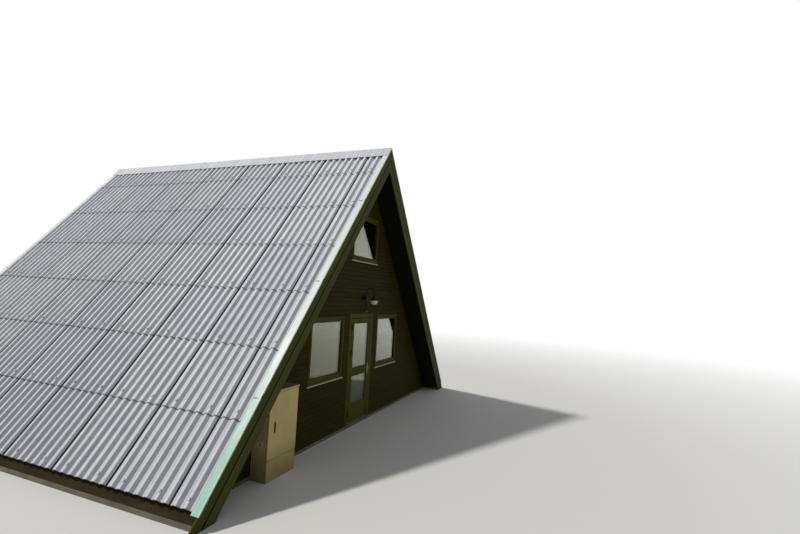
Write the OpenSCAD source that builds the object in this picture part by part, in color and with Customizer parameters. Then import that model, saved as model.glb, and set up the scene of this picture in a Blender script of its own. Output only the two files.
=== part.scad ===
// A-frame holiday cabin: two steep corrugated roof slopes that stand on the ground,
// a recessed boarded gable at each end and a meter cabinet under the front overhang.
// Millimetres. X runs across the gable, Y from the front to the back, Z up.
// The origin is on the ground, midway between the slopes and the two verges.

/* [Roof form] */
// Angle of each slope above the ground, in degrees
roof_angle = 50.4; // [46:0.1:54]
// Height of the sheets' middle plane at the ridge
ridge_height = 5627; // [5400:1:6200]
// Height of the sheets' middle plane at their lower edge
eave_height = 187; // [150:1:300]

/* [Roof sheets] */
// Pitch of one corrugation
wave_pitch = 146; // [120:1:160]
// Height of one corrugation between middle planes
wave_height = 48; // [30:1:56]
// Width of the flat top of a corrugation
wave_flat = 43; // [30:1:56]
// Thickness of a sheet
sheet_thickness = 7; // [5:1:9]
// Corrugations that one sheet covers
waves_per_sheet = 7; // [5:1:8]
// Number of whole sheets between the two end strips
sheet_count = 7; // [6:1:9]
// Distance from a verge to the first side joint
end_strip = 472; // [420:1:600]
// Distance from a side joint to the crest in front of it
joint_to_crest = 90; // [60:1:110]
// Distance between the lower edges of two courses
course_step = 1047; // [900:1:1150]
// Gap between a sheet's edge and the back of the barge boards
sheet_end_gap = 2; // [1:1:10]
// Gap down the slope between the ridge line and the sheets
sheet_ridge_gap = 60; // [40:1:120]
// Leg of the ridge cap down each slope
ridge_cap_leg = 240; // [180:1:320]
// Thickness of the ridge cap
ridge_cap_thickness = 7; // [4:1:12]

/* [Roof build-up] */
// Height of the battens under the sheets
batten_height = 45; // [30:1:60]
// Width of the battens
batten_width = 60; // [40:1:100]
// Distance from a course's lower edge up to its batten
batten_offset = 70; // [60:1:200]
// Thickness of the rafter and boarding layer
slab_thickness = 200; // [160:1:206]
// Gap between slanted pieces that lie on each other
seat_gap = 0.3; // [0.1:0.1:0.6]

/* [Verge] */
// Width of the verge cap on the sheets
cap_width = 112; // [90:1:125]
// Thickness of the verge cap
cap_thickness = 3; // [2:1:5]
// Drop of the cap's front lip
cap_lip = 18; // [12:1:24]
// Length of the cap past the sheets' lower edge
cap_tail = 42; // [10:1:60]
// Width of each barge board
board_width = 150; // [120:1:160]
// Thickness of each barge board
board_thickness = 22; // [18:1:30]
// Gap between the outer and the inner barge board
board_gap = 4; // [2:1:10]
// Distance from the verge to the boards' face
board_setback = 10; // [6:1:30]
// Drop from the sheets' crests to the outer board's top edge
board_drop = 8; // [4:1:12]
// Mitre gap between left and right pieces at the ridge
mitre_gap = 1; // [0.6:0.1:4]

/* [Walls and floors] */
// Distance from a verge to the gable wall's face
wall_recess = 460; // [440:1:700]
// Thickness of the gable walls
wall_thickness = 160; // [140:1:220]
// Height of the ground floor slab and of the footings
floor_height = 50; // [30:1:80]
// Distance that the floor slab shows in front of the walls
floor_lip = 10; // [5:1:40]
// Distance that a footing reaches past the foot of the roof, each side
footing_margin = 25; // [10:1:35]
// Height of the loft floor's underside
loft_underside = 2440; // [2400:1:2600]
// Thickness of the loft floor
loft_thickness = 200; // [150:1:240]

/* [Windows] */
// Outer width of a window frame
window_w = 1140; // [900:1:1150]
// Outer height of a ground floor window frame
window_h = 1140; // [900:1:1160]
// Distance from the door frame to the window frame beside it
window_door_gap = 221; // [150:1:300]
// Distance from the door frame's top down to the ground floor windows' top
window_head_drop = 40; // [0:1:60]
// Outer height of an attic window frame
attic_h = 950; // [700:1:960]
// Distance from the ridge down to the attic windows' top
attic_drop = 1387; // [1350:1:1500]
// Width of a frame member
window_member = 97; // [70:1:110]
// Depth of a window frame
window_depth = 70; // [60:1:90]
// Distance that frames stand in front of the wall's face
frame_proud = 6; // [2:1:20]
// Thickness of a glass pane
glass_thickness = 24; // [16:1:28]
// Depth of the frame in front of the glass
glass_setback = 30; // [20:1:32]
// Overlap of the glass behind the frame
glass_overlap = 10; // [6:1:20]
// Gap round a glass pane in its frame
glass_gap = 2; // [1:0.5:4]
// Height of a sill's front edge
sill_height = 28; // [20:1:40]
// Distance that a sill stands in front of the wall
sill_reach = 60; // [40:1:80]
// Length of a sill past the frame, each side
sill_ear = 30; // [10:1:50]

/* [Door] */
// Width of the door leaf
door_w = 830; // [760:1:840]
// Height of the door leaf's top edge
door_top = 2129; // [2110:1:2140]
// Thickness of the door leaf
door_thickness = 50; // [44:1:60]
// Distance from the frame's face back to the leaf's face
leaf_setback = 4; // [2:1:8]
// Gap round the door leaf
door_gap = 8; // [7:1:10]
// Width of a door frame's upright
door_member = 107; // [80:1:110]
// Height of the door frame's head
door_head = 88; // [70:1:100]
// Depth of the door frame
door_frame_depth = 100; // [90:1:120]
// Overlap of the stop behind the leaf
door_stop = 22; // [18:1:35]
// Height of the threshold above the floor
threshold_height = 45; // [20:1:60]
// Width of the leaf's side and top members
door_stile = 92; // [80:1:110]
// Height of the bottom of the lower pane
lower_pane_z = 431; // [380:1:480]
// Height of the middle rail's lower edge
mid_rail_z = 998; // [950:1:1020]
// Height of the middle rail
mid_rail_h = 140; // [120:1:160]
// Gap between a turning pin and its seat
pin_gap = 0.3; // [0.2:0.1:1]
// Radius of a hinge barrel
hinge_r = 8; // [6:1:10]
// Distance from the opening's edge out to the hinge axis
hinge_offset = 2; // [1:1:4]
// Height of a hinge
hinge_h = 95; // [70:1:120]
// Distance that a hinge's plate reaches onto the leaf
hinge_plate_w = 44; // [36:1:60]
// Thickness of a hinge's plate
hinge_plate_t = 7; // [6:1:8]
// Distance from the top hinge down to the second hinge
hinge_step = 510; // [400:1:900]
// Distance from the door's top or bottom edge to a hinge's middle
hinge_inset = 160; // [120:1:260]
// Height of the lever
lever_z = 1092; // [1050:1:1110]
// Length of the lever
lever_length = 120; // [100:1:140]
// Radius of the lever and of its neck
lever_r = 9; // [7:1:10]
// Distance from the leaf's face to the lever's middle
lever_reach = 42; // [38:1:50]
// Distance from the leaf's free edge to the lever's neck
lever_inset = 50; // [40:1:60]
// Width of the lever's plate
lever_plate_w = 34; // [28:1:44]
// Height of the lever's plate
lever_plate_h = 220; // [180:1:240]
// Thickness of the lever's plate
lever_plate_t = 6; // [4:1:8]
// Distance from the lever down to the middle of its plate
lever_plate_drop = 30; // [0:1:50]

/* [Lamp] */
// Height of the lamp's wall block
lamp_block_z = 2505; // [2480:1:2540]
// Height of the wall block
lamp_block_h = 90; // [70:1:110]
// Width of the wall block
lamp_block_w = 64; // [50:1:80]
// Distance from the wall's face to the middle of the bar
lamp_bar_reach = 68; // [60:1:90]
// Height of the bar's lower end
lamp_bar_z = 2262; // [2250:1:2300]
// Radius of the bar and of the arm
lamp_bar_r = 8; // [6:1:10]
// Radius of the swan neck
lamp_neck_r = 90; // [80:1:120]
// Height of the swan neck's middle
lamp_neck_z = 2665; // [2650:1:2700]
// Radius of the glass bowl
bowl_r = 94; // [80:1:110]
// Wall thickness of the glass bowl
bowl_wall = 4; // [3:1:6]
// Height of the bowl's rim
bowl_z = 2500; // [2490:1:2510]
// Depth of the glass bowl below its rim
bowl_depth = 86; // [70:1:90]
// Radius of the lamp's cone
cone_r = 56; // [45:1:70]
// Height of the lamp's cone
cone_h = 78; // [60:1:90]
// Radius of the cone's top
cone_top_r = 14; // [10:1:20]
// Height of the collar between the rim and the cone
collar_h = 22; // [14:1:30]
// Thickness of the rim that holds the bowl
rim_h = 8; // [5:1:12]
// Distance that the rim reaches past the bowl
rim_reach = 8; // [4:1:12]

/* [Meter cabinet] */
// Width of the cabinet
cabinet_w = 653; // [600:1:680]
// Depth of the cabinet, door included
cabinet_d = 270; // [250:1:290]
// Height of the cabinet's body
cabinet_h = 1200; // [1100:1:1205]
// Gap between the lid's outer corner and the slope above it
cabinet_slope_gap = 68; // [40:1:300]
// Height of the cabinet's base
cabinet_base_h = 285; // [240:1:320]
// Distance that the base is set in, each side
cabinet_base_inset = 2; // [1:1:3]
// Wall thickness of the cabinet
cabinet_wall = 20; // [12:1:26]
// Thickness of the cabinet's door
cabinet_door_t = 25; // [18:1:30]
// Gap above and below the cabinet's door
cabinet_door_gap = 6; // [5:1:8]
// Gap behind the cabinet's door
cabinet_door_clearance = 8; // [7:1:12]
// Distance from the door's right edge and face to its pivot
cabinet_pivot_inset = 8; // [6:1:10]
// Radius of the cabinet door's pivot pins
cabinet_pivot_r = 5; // [3:1:6]
// Thickness of the cabinet's lid
cabinet_lid_h = 26; // [18:1:30]
// Distance that the lid reaches past the body
cabinet_lid_reach = 12; // [8:1:14]
// Distance from the door's edge to the handle's middle
cabinet_handle_x = 125; // [90:1:160]
// Height of the handle's lower end
cabinet_handle_z = 645; // [600:1:700]
// Height of the handle
cabinet_handle_h = 155; // [120:1:180]
// Width of the handle
cabinet_handle_w = 22; // [16:1:30]
// Distance that the handle stands in front of the door
cabinet_handle_d = 14; // [10:1:20]

/* [Hidden] */

$fn = 48;
// Length by which a cutting shape passes the face that it cuts
cut = 1;
ca = cos(roof_angle);
sa = sin(roof_angle);

eave_distance = (ridge_height - eave_height) / sa;
sheet_cover = waves_per_sheet * wave_pitch;
cabin_length = sheet_count * sheet_cover + 2 * end_strip;
front_y = -cabin_length / 2;
back_y = cabin_length / 2;

crest_n = wave_height / 2 + sheet_thickness / 2;
batten_top = -crest_n;
slab_top = batten_top - batten_height;
slab_under = slab_top - slab_thickness;
room_edge = slab_under - seat_gap;
cap_under = crest_n + seat_gap;
cap_top = cap_under + cap_thickness;
outer_board_top = crest_n - board_drop;
outer_board_under = outer_board_top - board_width;
inner_board_top = outer_board_under - board_gap;
inner_board_under = inner_board_top - board_width;
slab_front_y = front_y + board_setback + board_thickness;

wall_y = front_y + wall_recess;
wall_inner_y = wall_y + wall_thickness;
frame_y = wall_y - frame_proud;
glass_y = frame_y + glass_setback;
room_half = cabin_length / 2 - wall_recess - wall_thickness;

door_half = door_w / 2;
door_opening_half = door_half + door_gap;
door_frame_half = door_opening_half + door_member;
door_frame_top = door_top + door_gap + door_head;
window_x = door_frame_half + window_door_gap + window_w / 2;
window_z = door_frame_top - window_head_drop - window_h;
attic_z = ridge_height - attic_drop - attic_h;
threshold_top = floor_height + threshold_height;
door_bottom = threshold_top + door_gap;
door_y = frame_y + leaf_setback;
upper_pane_z = mid_rail_z + mid_rail_h;
upper_pane_top = door_top - door_stile;
hinge_x = -door_opening_half - hinge_offset;
hinge_y = frame_y - hinge_r - pin_gap;

lamp_bar_y = wall_y - lamp_bar_reach;
lamp_drop_y = lamp_bar_y - 2 * lamp_neck_r;
cone_z = bowl_z + collar_h;
cone_top_z = cone_z + cone_h;

cabinet_left = cabinet_slope_gap + cabinet_lid_reach
    - at_height(slab_under, cabinet_h + cabinet_lid_h)[0];
cabinet_right = cabinet_left + cabinet_w;
cabinet_back = wall_y - floor_lip;
cabinet_front = cabinet_back - cabinet_d;
cabinet_body_front = cabinet_front + cabinet_door_t + cabinet_door_clearance;

timber_green = [0.17, 0.20, 0.11];
wall_brown = [0.25, 0.19, 0.10];
sheet_grey = [0.58, 0.58, 0.62];
mint = [0.66, 0.84, 0.76];
concrete = [0.62, 0.61, 0.56];
raw_timber = [0.55, 0.42, 0.28];
metal = [0.80, 0.80, 0.78];
cabinet_beige = [0.66, 0.60, 0.42];

// Points of a slope's cross-section in X and Z, for the right slope.
// n is the height above the sheets' middle plane, square to the slope.
function apex(n) = [0, ridge_height + n / ca];
function at_height(n, z) = [(n + ca * (ridge_height - z)) / sa, z];
function down_slope(s, n) = [s * ca + n * sa, ridge_height - s * sa + n * ca];

// Extrudes an outline drawn in X and Z along Y.
module along_y(y0, y1) {
    translate([0, y1, 0]) rotate([90, 0, 0]) linear_extrude(y1 - y0) children();
}

module box(x0, x1, y0, y1, z0, z1) {
    translate([x0, y0, z0]) cube([x1 - x0, y1 - y0, z1 - z0]);
}

module left_side() {
    mirror([1, 0, 0]) children();
}

// A right and a left copy, parted by a small mitre gap under the ridge.
module both_sides() {
    difference() {
        union() {
            children();
            left_side() children();
        }
        box(-mitre_gap / 2, mitre_gap / 2, front_y - cut, back_y + cut, 0, 2 * ridge_height);
    }
}

// Turns what is at the front gable round to the back gable.
module at_back() {
    mirror([0, 1, 0]) children();
}

// A layer of the slope between two heights, down to a level cut.
module layer_to_height(n_low, n_high, z, y0, y1) {
    along_y(y0, y1)
        polygon([apex(n_high), at_height(n_high, z), at_height(n_low, z), apex(n_low)]);
}

// A layer of the slope between two heights, down to a square cut.
module layer_to_length(n_low, n_high, s, y0, y1) {
    along_y(y0, y1)
        polygon([apex(n_high), down_slope(s, n_high), down_slope(s, n_low), apex(n_low)]);
}

// Puts a piece drawn with X down the slope and Z square to it onto the right slope.
module on_slope() {
    translate([0, 0, ridge_height]) rotate([0, roof_angle, 0]) children();
}

module footing() {
    color(concrete)
        box(at_height(slab_under, floor_height)[0] - footing_margin,
            at_height(slab_top, floor_height)[0] + footing_margin,
            slab_front_y, -slab_front_y, 0, floor_height);
}

module left_footing() {
    left_side() footing();
}

module right_footing() {
    footing();
}

module ground_floor() {
    edge = at_height(slab_under, floor_height)[0] - footing_margin;
    color(concrete) box(-edge, edge, wall_y - floor_lip, floor_lip - wall_y, 0, floor_height);
}

module loft_floor() {
    low = at_height(room_edge, loft_underside);
    high = at_height(room_edge, loft_underside + loft_thickness);
    color(raw_timber) along_y(-room_half, room_half)
        polygon([low, high, [-high[0], high[1]], [-low[0], low[1]]]);
}

module roof_slab() {
    color(raw_timber)
        layer_to_height(slab_under, slab_top, floor_height, slab_front_y, -slab_front_y);
}

module left_roof_slab() {
    left_side() roof_slab();
}

module right_roof_slab() {
    roof_slab();
}

// Battens lie across the slope under each course's lower edge and near the ridge.
module battens() {
    courses = floor((eave_distance - batten_offset) / course_step);
    color(raw_timber) on_slope() for (k = [0:courses]) {
        s = eave_distance - batten_offset - k * course_step;
        translate([s - batten_width, slab_front_y, slab_top + seat_gap])
            cube([batten_width, -2 * slab_front_y, batten_height - 2 * seat_gap]);
    }
}

module left_battens() {
    left_side() battens();
}

module right_battens() {
    battens();
}

// One corrugation's corners: up to the flat top, along it and down again.
function wave_side(first, last, crest_y, lift) = [
    for (k = [first:last]) each [
        [crest_y + k * wave_pitch - wave_pitch / 2 + wave_flat / 2, lift - wave_height / 2],
        [crest_y + k * wave_pitch - wave_flat / 2, lift + wave_height / 2],
        [crest_y + k * wave_pitch + wave_flat / 2, lift + wave_height / 2],
        [crest_y + (k + 1) * wave_pitch - wave_pitch / 2 - wave_flat / 2, lift - wave_height / 2]
    ]
];

function reversed(list) = [for (i = [len(list) - 1:-1:0]) list[i]];

// The corrugated layer of one slope, cut to the verges.
module roof_sheets() {
    crest_y = front_y + end_strip - joint_to_crest;
    first = -ceil(end_strip / wave_pitch) - 1;
    last = sheet_count * waves_per_sheet + ceil(end_strip / wave_pitch) + 1;
    half = sheet_thickness / 2;
    sheet_y = -slab_front_y - sheet_end_gap;
    upper = wave_side(first, last, crest_y, half);
    lower = wave_side(first, last, crest_y, -half);
    color(sheet_grey) on_slope() translate([sheet_ridge_gap, 0, 0])
        rotate([90, 0, 90]) linear_extrude(eave_distance - sheet_ridge_gap)
            intersection() {
                polygon(concat(upper, reversed(lower)));
                translate([-sheet_y, -2 * wave_height]) square([2 * sheet_y, 4 * wave_height]);
            }
}

module left_roof_sheets() {
    left_side() roof_sheets();
}

module right_roof_sheets() {
    roof_sheets();
}

// Both legs of the ridge cap, bent in one piece.
module ridge_cap() {
    under = cap_top + seat_gap;
    top = under + ridge_cap_thickness;
    legs = [down_slope(ridge_cap_leg, top), down_slope(ridge_cap_leg, under)];
    color(sheet_grey) along_y(front_y, back_y)
        polygon([apex(top), legs[0], legs[1], apex(under),
            [-legs[1][0], legs[1][1]], [-legs[0][0], legs[0][1]]]);
}

module verge_caps() {
    tail = eave_distance + cap_tail;
    color(mint) both_sides() {
        layer_to_length(cap_under, cap_top, tail, front_y, front_y + cap_width);
        layer_to_length(cap_top - cap_lip, cap_top, tail, front_y, front_y + cap_thickness);
    }
}

module front_verge_caps() {
    verge_caps();
}

module back_verge_caps() {
    at_back() verge_caps();
}

module barge_boards(n_low, n_high) {
    y0 = front_y + board_setback;
    color(timber_green) both_sides()
        layer_to_height(n_low, n_high, 0, y0, y0 + board_thickness);
}

module front_outer_boards() {
    barge_boards(outer_board_under, outer_board_top);
}

module front_inner_boards() {
    barge_boards(inner_board_under, inner_board_top);
}

module back_outer_boards() {
    at_back() front_outer_boards();
}

module back_inner_boards() {
    at_back() front_inner_boards();
}

// The whole gable wall, with its window openings and room for the sills.
module gable_wall() {
    foot = at_height(room_edge, floor_height);
    difference() {
        along_y(wall_y, wall_inner_y)
            polygon([foot, apex(room_edge), [-foot[0], foot[1]]]);
        for (x = [-window_x, window_x]) window_hole(x, window_z, window_h);
        window_hole(0, attic_z, attic_h);
    }
}

module window_hole(x, z, h) {
    box(x - window_w / 2, x + window_w / 2, wall_y - cut, wall_inner_y + cut,
        z - sill_height, z + h);
}

// The region of the front wall on one side of the door.
module beside_door(side) {
    x0 = side > 0 ? door_frame_half : -ridge_height;
    x1 = side > 0 ? ridge_height : -door_frame_half;
    box(x0, x1, wall_y, wall_inner_y, 0, door_frame_top);
}

module front_wall_left() {
    color(wall_brown) intersection() {
        gable_wall();
        beside_door(-1);
    }
}

module front_wall_right() {
    color(wall_brown) intersection() {
        gable_wall();
        beside_door(1);
    }
}

module front_wall_over_door() {
    color(wall_brown) intersection() {
        gable_wall();
        box(-ridge_height, ridge_height, wall_y, wall_inner_y, door_frame_top, ridge_height);
    }
}

module back_wall() {
    color(wall_brown) at_back() gable_wall();
}

// A fixed frame whose pane lies in a rebate behind its front part.
module window_frame(x, z, h) {
    inner_w = window_w - 2 * window_member;
    inner_h = h - 2 * window_member;
    rebate = glass_overlap + glass_gap;
    color(timber_green) difference() {
        box(x - window_w / 2, x + window_w / 2, frame_y, frame_y + window_depth, z, z + h);
        box(x - inner_w / 2, x + inner_w / 2, frame_y - cut, glass_y + cut,
            z + window_member, z + window_member + inner_h);
        box(x - inner_w / 2 - rebate, x + inner_w / 2 + rebate, glass_y,
            frame_y + window_depth + cut, z + window_member - rebate,
            z + window_member + inner_h + rebate);
    }
}

module window_pane(x, z, h) {
    half = window_w / 2 - window_member + glass_overlap;
    box(x - half, x + half, glass_y, glass_y + glass_thickness,
        z + window_member - glass_overlap, z + h - window_member + glass_overlap);
}

module front_left_window() {
    window_frame(-window_x, window_z, window_h);
}

module front_right_window() {
    window_frame(window_x, window_z, window_h);
}

module front_attic_window() {
    window_frame(0, attic_z, attic_h);
}

module back_left_window() {
    at_back() front_left_window();
}

module back_right_window() {
    at_back() front_right_window();
}

module back_attic_window() {
    at_back() front_attic_window();
}

module front_glass() {
    color("lightcyan", 0.5) {
        for (x = [-window_x, window_x]) window_pane(x, window_z, window_h);
        window_pane(0, attic_z, attic_h);
    }
}

module back_glass() {
    at_back() front_glass();
}

module sill(x, z) {
    box(x - window_w / 2, x + window_w / 2, wall_y, frame_y + window_depth, z - sill_height, z);
    box(x - window_w / 2 - sill_ear, x + window_w / 2 + sill_ear, wall_y - sill_reach, wall_y,
        z - sill_height, z);
}

module front_sills() {
    color(metal) {
        for (x = [-window_x, window_x]) sill(x, window_z);
        sill(0, attic_z);
    }
}

module back_sills() {
    at_back() front_sills();
}

module door_frame() {
    y1 = frame_y + door_frame_depth;
    stop_y = door_y + door_thickness + door_gap;
    color(timber_green) difference() {
        box(-door_frame_half, door_frame_half, frame_y, y1, floor_height, door_frame_top);
        box(-door_opening_half, door_opening_half, frame_y - cut, stop_y,
            floor_height - cut, door_top + door_gap);
        box(-door_opening_half + door_stop, door_opening_half - door_stop, frame_y, y1 + cut,
            floor_height - cut, door_top + door_gap - door_stop);
    }
}

module door_threshold() {
    color(metal) box(-door_opening_half, door_opening_half, frame_y,
        door_y + door_thickness + door_gap, floor_height, threshold_top);
}

module door_hole(z0, z1) {
    half = door_half - door_stile;
    rebate = glass_overlap + glass_gap;
    pane_y = door_y + (door_thickness - glass_thickness) / 2;
    box(-half, half, door_y - cut, pane_y + cut, z0, z1);
    box(-half - rebate, half + rebate, pane_y, door_y + door_thickness + cut,
        z0 - rebate, z1 + rebate);
}

module door_leaf() {
    color(timber_green) difference() {
        box(-door_half, door_half, door_y, door_y + door_thickness, door_bottom, door_top);
        door_hole(lower_pane_z, mid_rail_z);
        door_hole(upper_pane_z, upper_pane_top);
    }
}

module door_pane(z0, z1) {
    half = door_half - door_stile + glass_overlap;
    pane_y = door_y + (door_thickness - glass_thickness) / 2;
    box(-half, half, pane_y, pane_y + glass_thickness, z0 - glass_overlap, z1 + glass_overlap);
}

module door_glass() {
    color("lightcyan", 0.5) {
        door_pane(lower_pane_z, mid_rail_z);
        door_pane(upper_pane_z, upper_pane_top);
    }
}

// Barrels on the door's turning axis, each with a plate on the leaf's face.
module door_hinges() {
    top_z = door_top - hinge_inset;
    heights = [door_bottom + hinge_inset, top_z - hinge_step, top_z];
    color("dimgray") for (z = heights) translate([0, 0, z - hinge_h / 2]) {
        translate([hinge_x, hinge_y, 0]) cylinder(r = hinge_r, h = hinge_h);
        box(hinge_x + hinge_r / 2, hinge_x + hinge_plate_w, door_y - hinge_plate_t, door_y,
            0, hinge_h);
    }
}

// A plate, a neck and a lever, outside and inside.
module door_handle() {
    x = door_half - lever_inset;
    plate_z = lever_z - lever_plate_drop;
    color(metal) for (side = [-1, 1]) {
        face = side < 0 ? door_y : door_y + door_thickness;
        y0 = side < 0 ? face - lever_plate_t : face;
        box(x - lever_plate_w / 2, x + lever_plate_w / 2, y0, y0 + lever_plate_t,
            plate_z - lever_plate_h / 2, plate_z + lever_plate_h / 2);
        translate([x, face, lever_z]) rotate([-90 * side, 0, 0])
            cylinder(r = lever_r, h = lever_reach);
        translate([x + lever_r, face + side * lever_reach, lever_z]) rotate([0, -90, 0])
            cylinder(r = lever_r, h = lever_length);
    }
}

// The wall block, the upright bar and the swan neck above the door.
module lamp_bracket() {
    color("black") {
        box(-lamp_block_w / 2, lamp_block_w / 2, lamp_bar_y, wall_y, lamp_block_z,
            lamp_block_z + lamp_block_h);
        translate([0, lamp_bar_y, lamp_bar_z])
            cylinder(r = lamp_bar_r, h = lamp_neck_z - lamp_bar_z);
        translate([0, lamp_bar_y - lamp_neck_r, lamp_neck_z]) rotate([90, 0, 90])
            rotate_extrude(angle = 180) translate([lamp_neck_r, 0]) circle(r = lamp_bar_r);
        translate([0, lamp_drop_y, cone_top_z])
            cylinder(r = lamp_bar_r, h = lamp_neck_z - cone_top_z);
    }
}

module lamp_shade() {
    color("black") translate([0, lamp_drop_y, bowl_z]) {
        cylinder(r = bowl_r + rim_reach, h = rim_h);
        cylinder(r = cone_r, h = collar_h);
        translate([0, 0, collar_h]) cylinder(r1 = cone_r, r2 = cone_top_r, h = cone_h);
    }
}

// A half-round glass bowl, open to the shade above it.
module lamp_bowl() {
    color("white") translate([0, lamp_drop_y, bowl_z]) rotate_extrude() difference() {
        intersection() {
            circle(r = bowl_r);
            translate([0, -bowl_depth]) square([bowl_r, bowl_depth]);
        }
        intersection() {
            circle(r = bowl_r - bowl_wall);
            translate([0, bowl_wall - bowl_depth]) square([bowl_r, bowl_depth]);
        }
    }
}

module cabinet_base() {
    color(cabinet_beige)
        box(cabinet_left + cabinet_base_inset, cabinet_right - cabinet_base_inset,
            cabinet_front + cabinet_base_inset, cabinet_back, 0, cabinet_base_h);
}

// A housing that is open at the front and hollow above the base.
module cabinet_body() {
    color(cabinet_beige) difference() {
        box(cabinet_left, cabinet_right, cabinet_body_front, cabinet_back,
            cabinet_base_h, cabinet_h);
        box(cabinet_left + cabinet_wall, cabinet_right - cabinet_wall, cabinet_body_front - cut,
            cabinet_back - cabinet_wall, cabinet_base_h + cabinet_wall, cabinet_h - cabinet_wall);
    }
}

module cabinet_lid() {
    color(cabinet_beige)
        box(cabinet_left - cabinet_lid_reach, cabinet_right + cabinet_lid_reach,
            cabinet_front - cabinet_lid_reach, cabinet_back, cabinet_h,
            cabinet_h + cabinet_lid_h);
}

// A plain panel that turns on a pin from the base to the lid, near its right edge.
module cabinet_door() {
    color(cabinet_beige) {
        box(cabinet_left, cabinet_right, cabinet_front, cabinet_front + cabinet_door_t,
            cabinet_base_h + cabinet_door_gap, cabinet_h - cabinet_door_gap);
        translate([cabinet_right - cabinet_pivot_inset, cabinet_front + cabinet_pivot_inset,
            cabinet_base_h + pin_gap])
            cylinder(r = cabinet_pivot_r, h = cabinet_h - cabinet_base_h - 2 * pin_gap);
    }
}

module cabinet_handle() {
    x = cabinet_left + cabinet_handle_x;
    color("black")
        box(x - cabinet_handle_w / 2, x + cabinet_handle_w / 2,
            cabinet_front - cabinet_handle_d, cabinet_front,
            cabinet_handle_z, cabinet_handle_z + cabinet_handle_h);
}

left_footing();
right_footing();
ground_floor();
loft_floor();
left_roof_slab();
right_roof_slab();
left_battens();
right_battens();
left_roof_sheets();
right_roof_sheets();
ridge_cap();
front_verge_caps();
back_verge_caps();
front_outer_boards();
front_inner_boards();
back_outer_boards();
back_inner_boards();
front_wall_left();
front_wall_right();
front_wall_over_door();
back_wall();
front_left_window();
front_right_window();
front_attic_window();
back_left_window();
back_right_window();
back_attic_window();
front_glass();
back_glass();
front_sills();
back_sills();
door_frame();
door_threshold();
door_leaf();
door_glass();
door_hinges();
door_handle();
lamp_bracket();
lamp_shade();
lamp_bowl();
cabinet_base();
cabinet_body();
cabinet_lid();
cabinet_door();
cabinet_handle();
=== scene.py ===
import math
import random

import bmesh
import bpy
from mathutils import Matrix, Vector


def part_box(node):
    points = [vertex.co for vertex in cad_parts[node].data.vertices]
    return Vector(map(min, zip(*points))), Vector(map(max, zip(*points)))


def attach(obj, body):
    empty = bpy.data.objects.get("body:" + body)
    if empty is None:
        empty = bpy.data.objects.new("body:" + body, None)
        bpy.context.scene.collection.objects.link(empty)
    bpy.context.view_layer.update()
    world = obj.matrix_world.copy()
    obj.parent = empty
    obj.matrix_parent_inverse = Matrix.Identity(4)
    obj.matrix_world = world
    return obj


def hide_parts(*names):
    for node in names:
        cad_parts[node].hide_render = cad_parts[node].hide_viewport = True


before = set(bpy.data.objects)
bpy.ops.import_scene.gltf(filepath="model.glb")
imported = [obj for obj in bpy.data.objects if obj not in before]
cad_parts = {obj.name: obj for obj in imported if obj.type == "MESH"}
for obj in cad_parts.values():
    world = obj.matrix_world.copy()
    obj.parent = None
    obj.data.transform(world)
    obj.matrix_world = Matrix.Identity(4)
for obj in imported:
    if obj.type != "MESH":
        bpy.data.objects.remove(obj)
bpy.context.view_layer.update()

# Driving dimensions, in metres
ROOF_ANGLE = math.radians(50.4)
COS = math.cos(ROOF_ANGLE)
SIN = math.sin(ROOF_ANGLE)
RIDGE_Z = 5.627
SHEET_END_Z = 0.187
EAVE = (RIDGE_Z - SHEET_END_Z) / SIN
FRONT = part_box("front_verge_caps")[0].y
LENGTH = -2 * FRONT
WALL_Y = -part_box("back_wall")[1].y
WALL_INNER_Y = -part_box("back_wall")[0].y
FLOOR_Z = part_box("ground_floor")[1].z

# Heights square to the slope, from the sheets' middle plane
CREST = 0.0275
CAP_UNDER = 0.0278
CAP_TOP = 0.0308
RIDGE_CAP_TOP = 0.0380
OUTER_BOARD = (-0.1245, 0.0195)
INNER_BOARD = (-0.2845, -0.1405)
SOFFIT = (-0.2843, -0.2728)
ROOM_EDGE = -0.2728

# Corrugated sheets
PITCH = 0.146
FLAT = 0.0295
FLANK = PITCH / 2 - FLAT
ROUNDING = 0.2
WAVE_HEIGHT = 0.046
SHEET_SKIN = 0.0045
SHEET_LENGTH = 1.180
COURSE = 1.047
WAVES = 7
COVER = WAVES * PITCH
FIRST_JOINT = 0.472
JOINT_TO_CREST = 0.090
FIRST_CREST = FIRST_JOINT - JOINT_TO_CREST
COLUMNS = 9
COURSES = 7
TILT = 0.0050
VERGE_GAP = 0.034

# Edges sharper than this stay sharp on rounded pieces
SHARP_ANGLE = math.radians(38)

rng = random.Random(7)


def clamp(value, low=0.0, high=1.0):
    return max(low, min(high, value))


def smooth(t):
    t = clamp(t)
    return t * t * (3 - 2 * t)


def on_slope(side, down, out, y):
    """A point of the roof: side is -1 or 1, down the slope, out from it, along the cabin."""
    return Vector((side * (down * COS + out * SIN), y, RIDGE_Z - down * SIN + out * COS))


def slope_axes(side):
    """The directions down a slope and out from it."""
    origin = on_slope(side, 0, 0, 0)
    return on_slope(side, 1, 0, 0) - origin, on_slope(side, 0, 1, 0) - origin


def at_height(out, z):
    """Half the width of a layer of the slope at a height."""
    return (out + COS * (RIDGE_Z - z)) / SIN


def axes(origin, u, v, w):
    """Places local coordinates on three directions from an origin."""
    origin, u, v, w = (Vector(a) for a in (origin, u, v, w))
    return lambda a, b, c: origin + u * a + v * b + w * c


# Outlines in the XZ plane, with depth toward +Y, inward from the front gable
FACING_FRONT = axes((0, 0, 0), (1, 0, 0), (0, 0, 1), (0, 1, 0))


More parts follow.
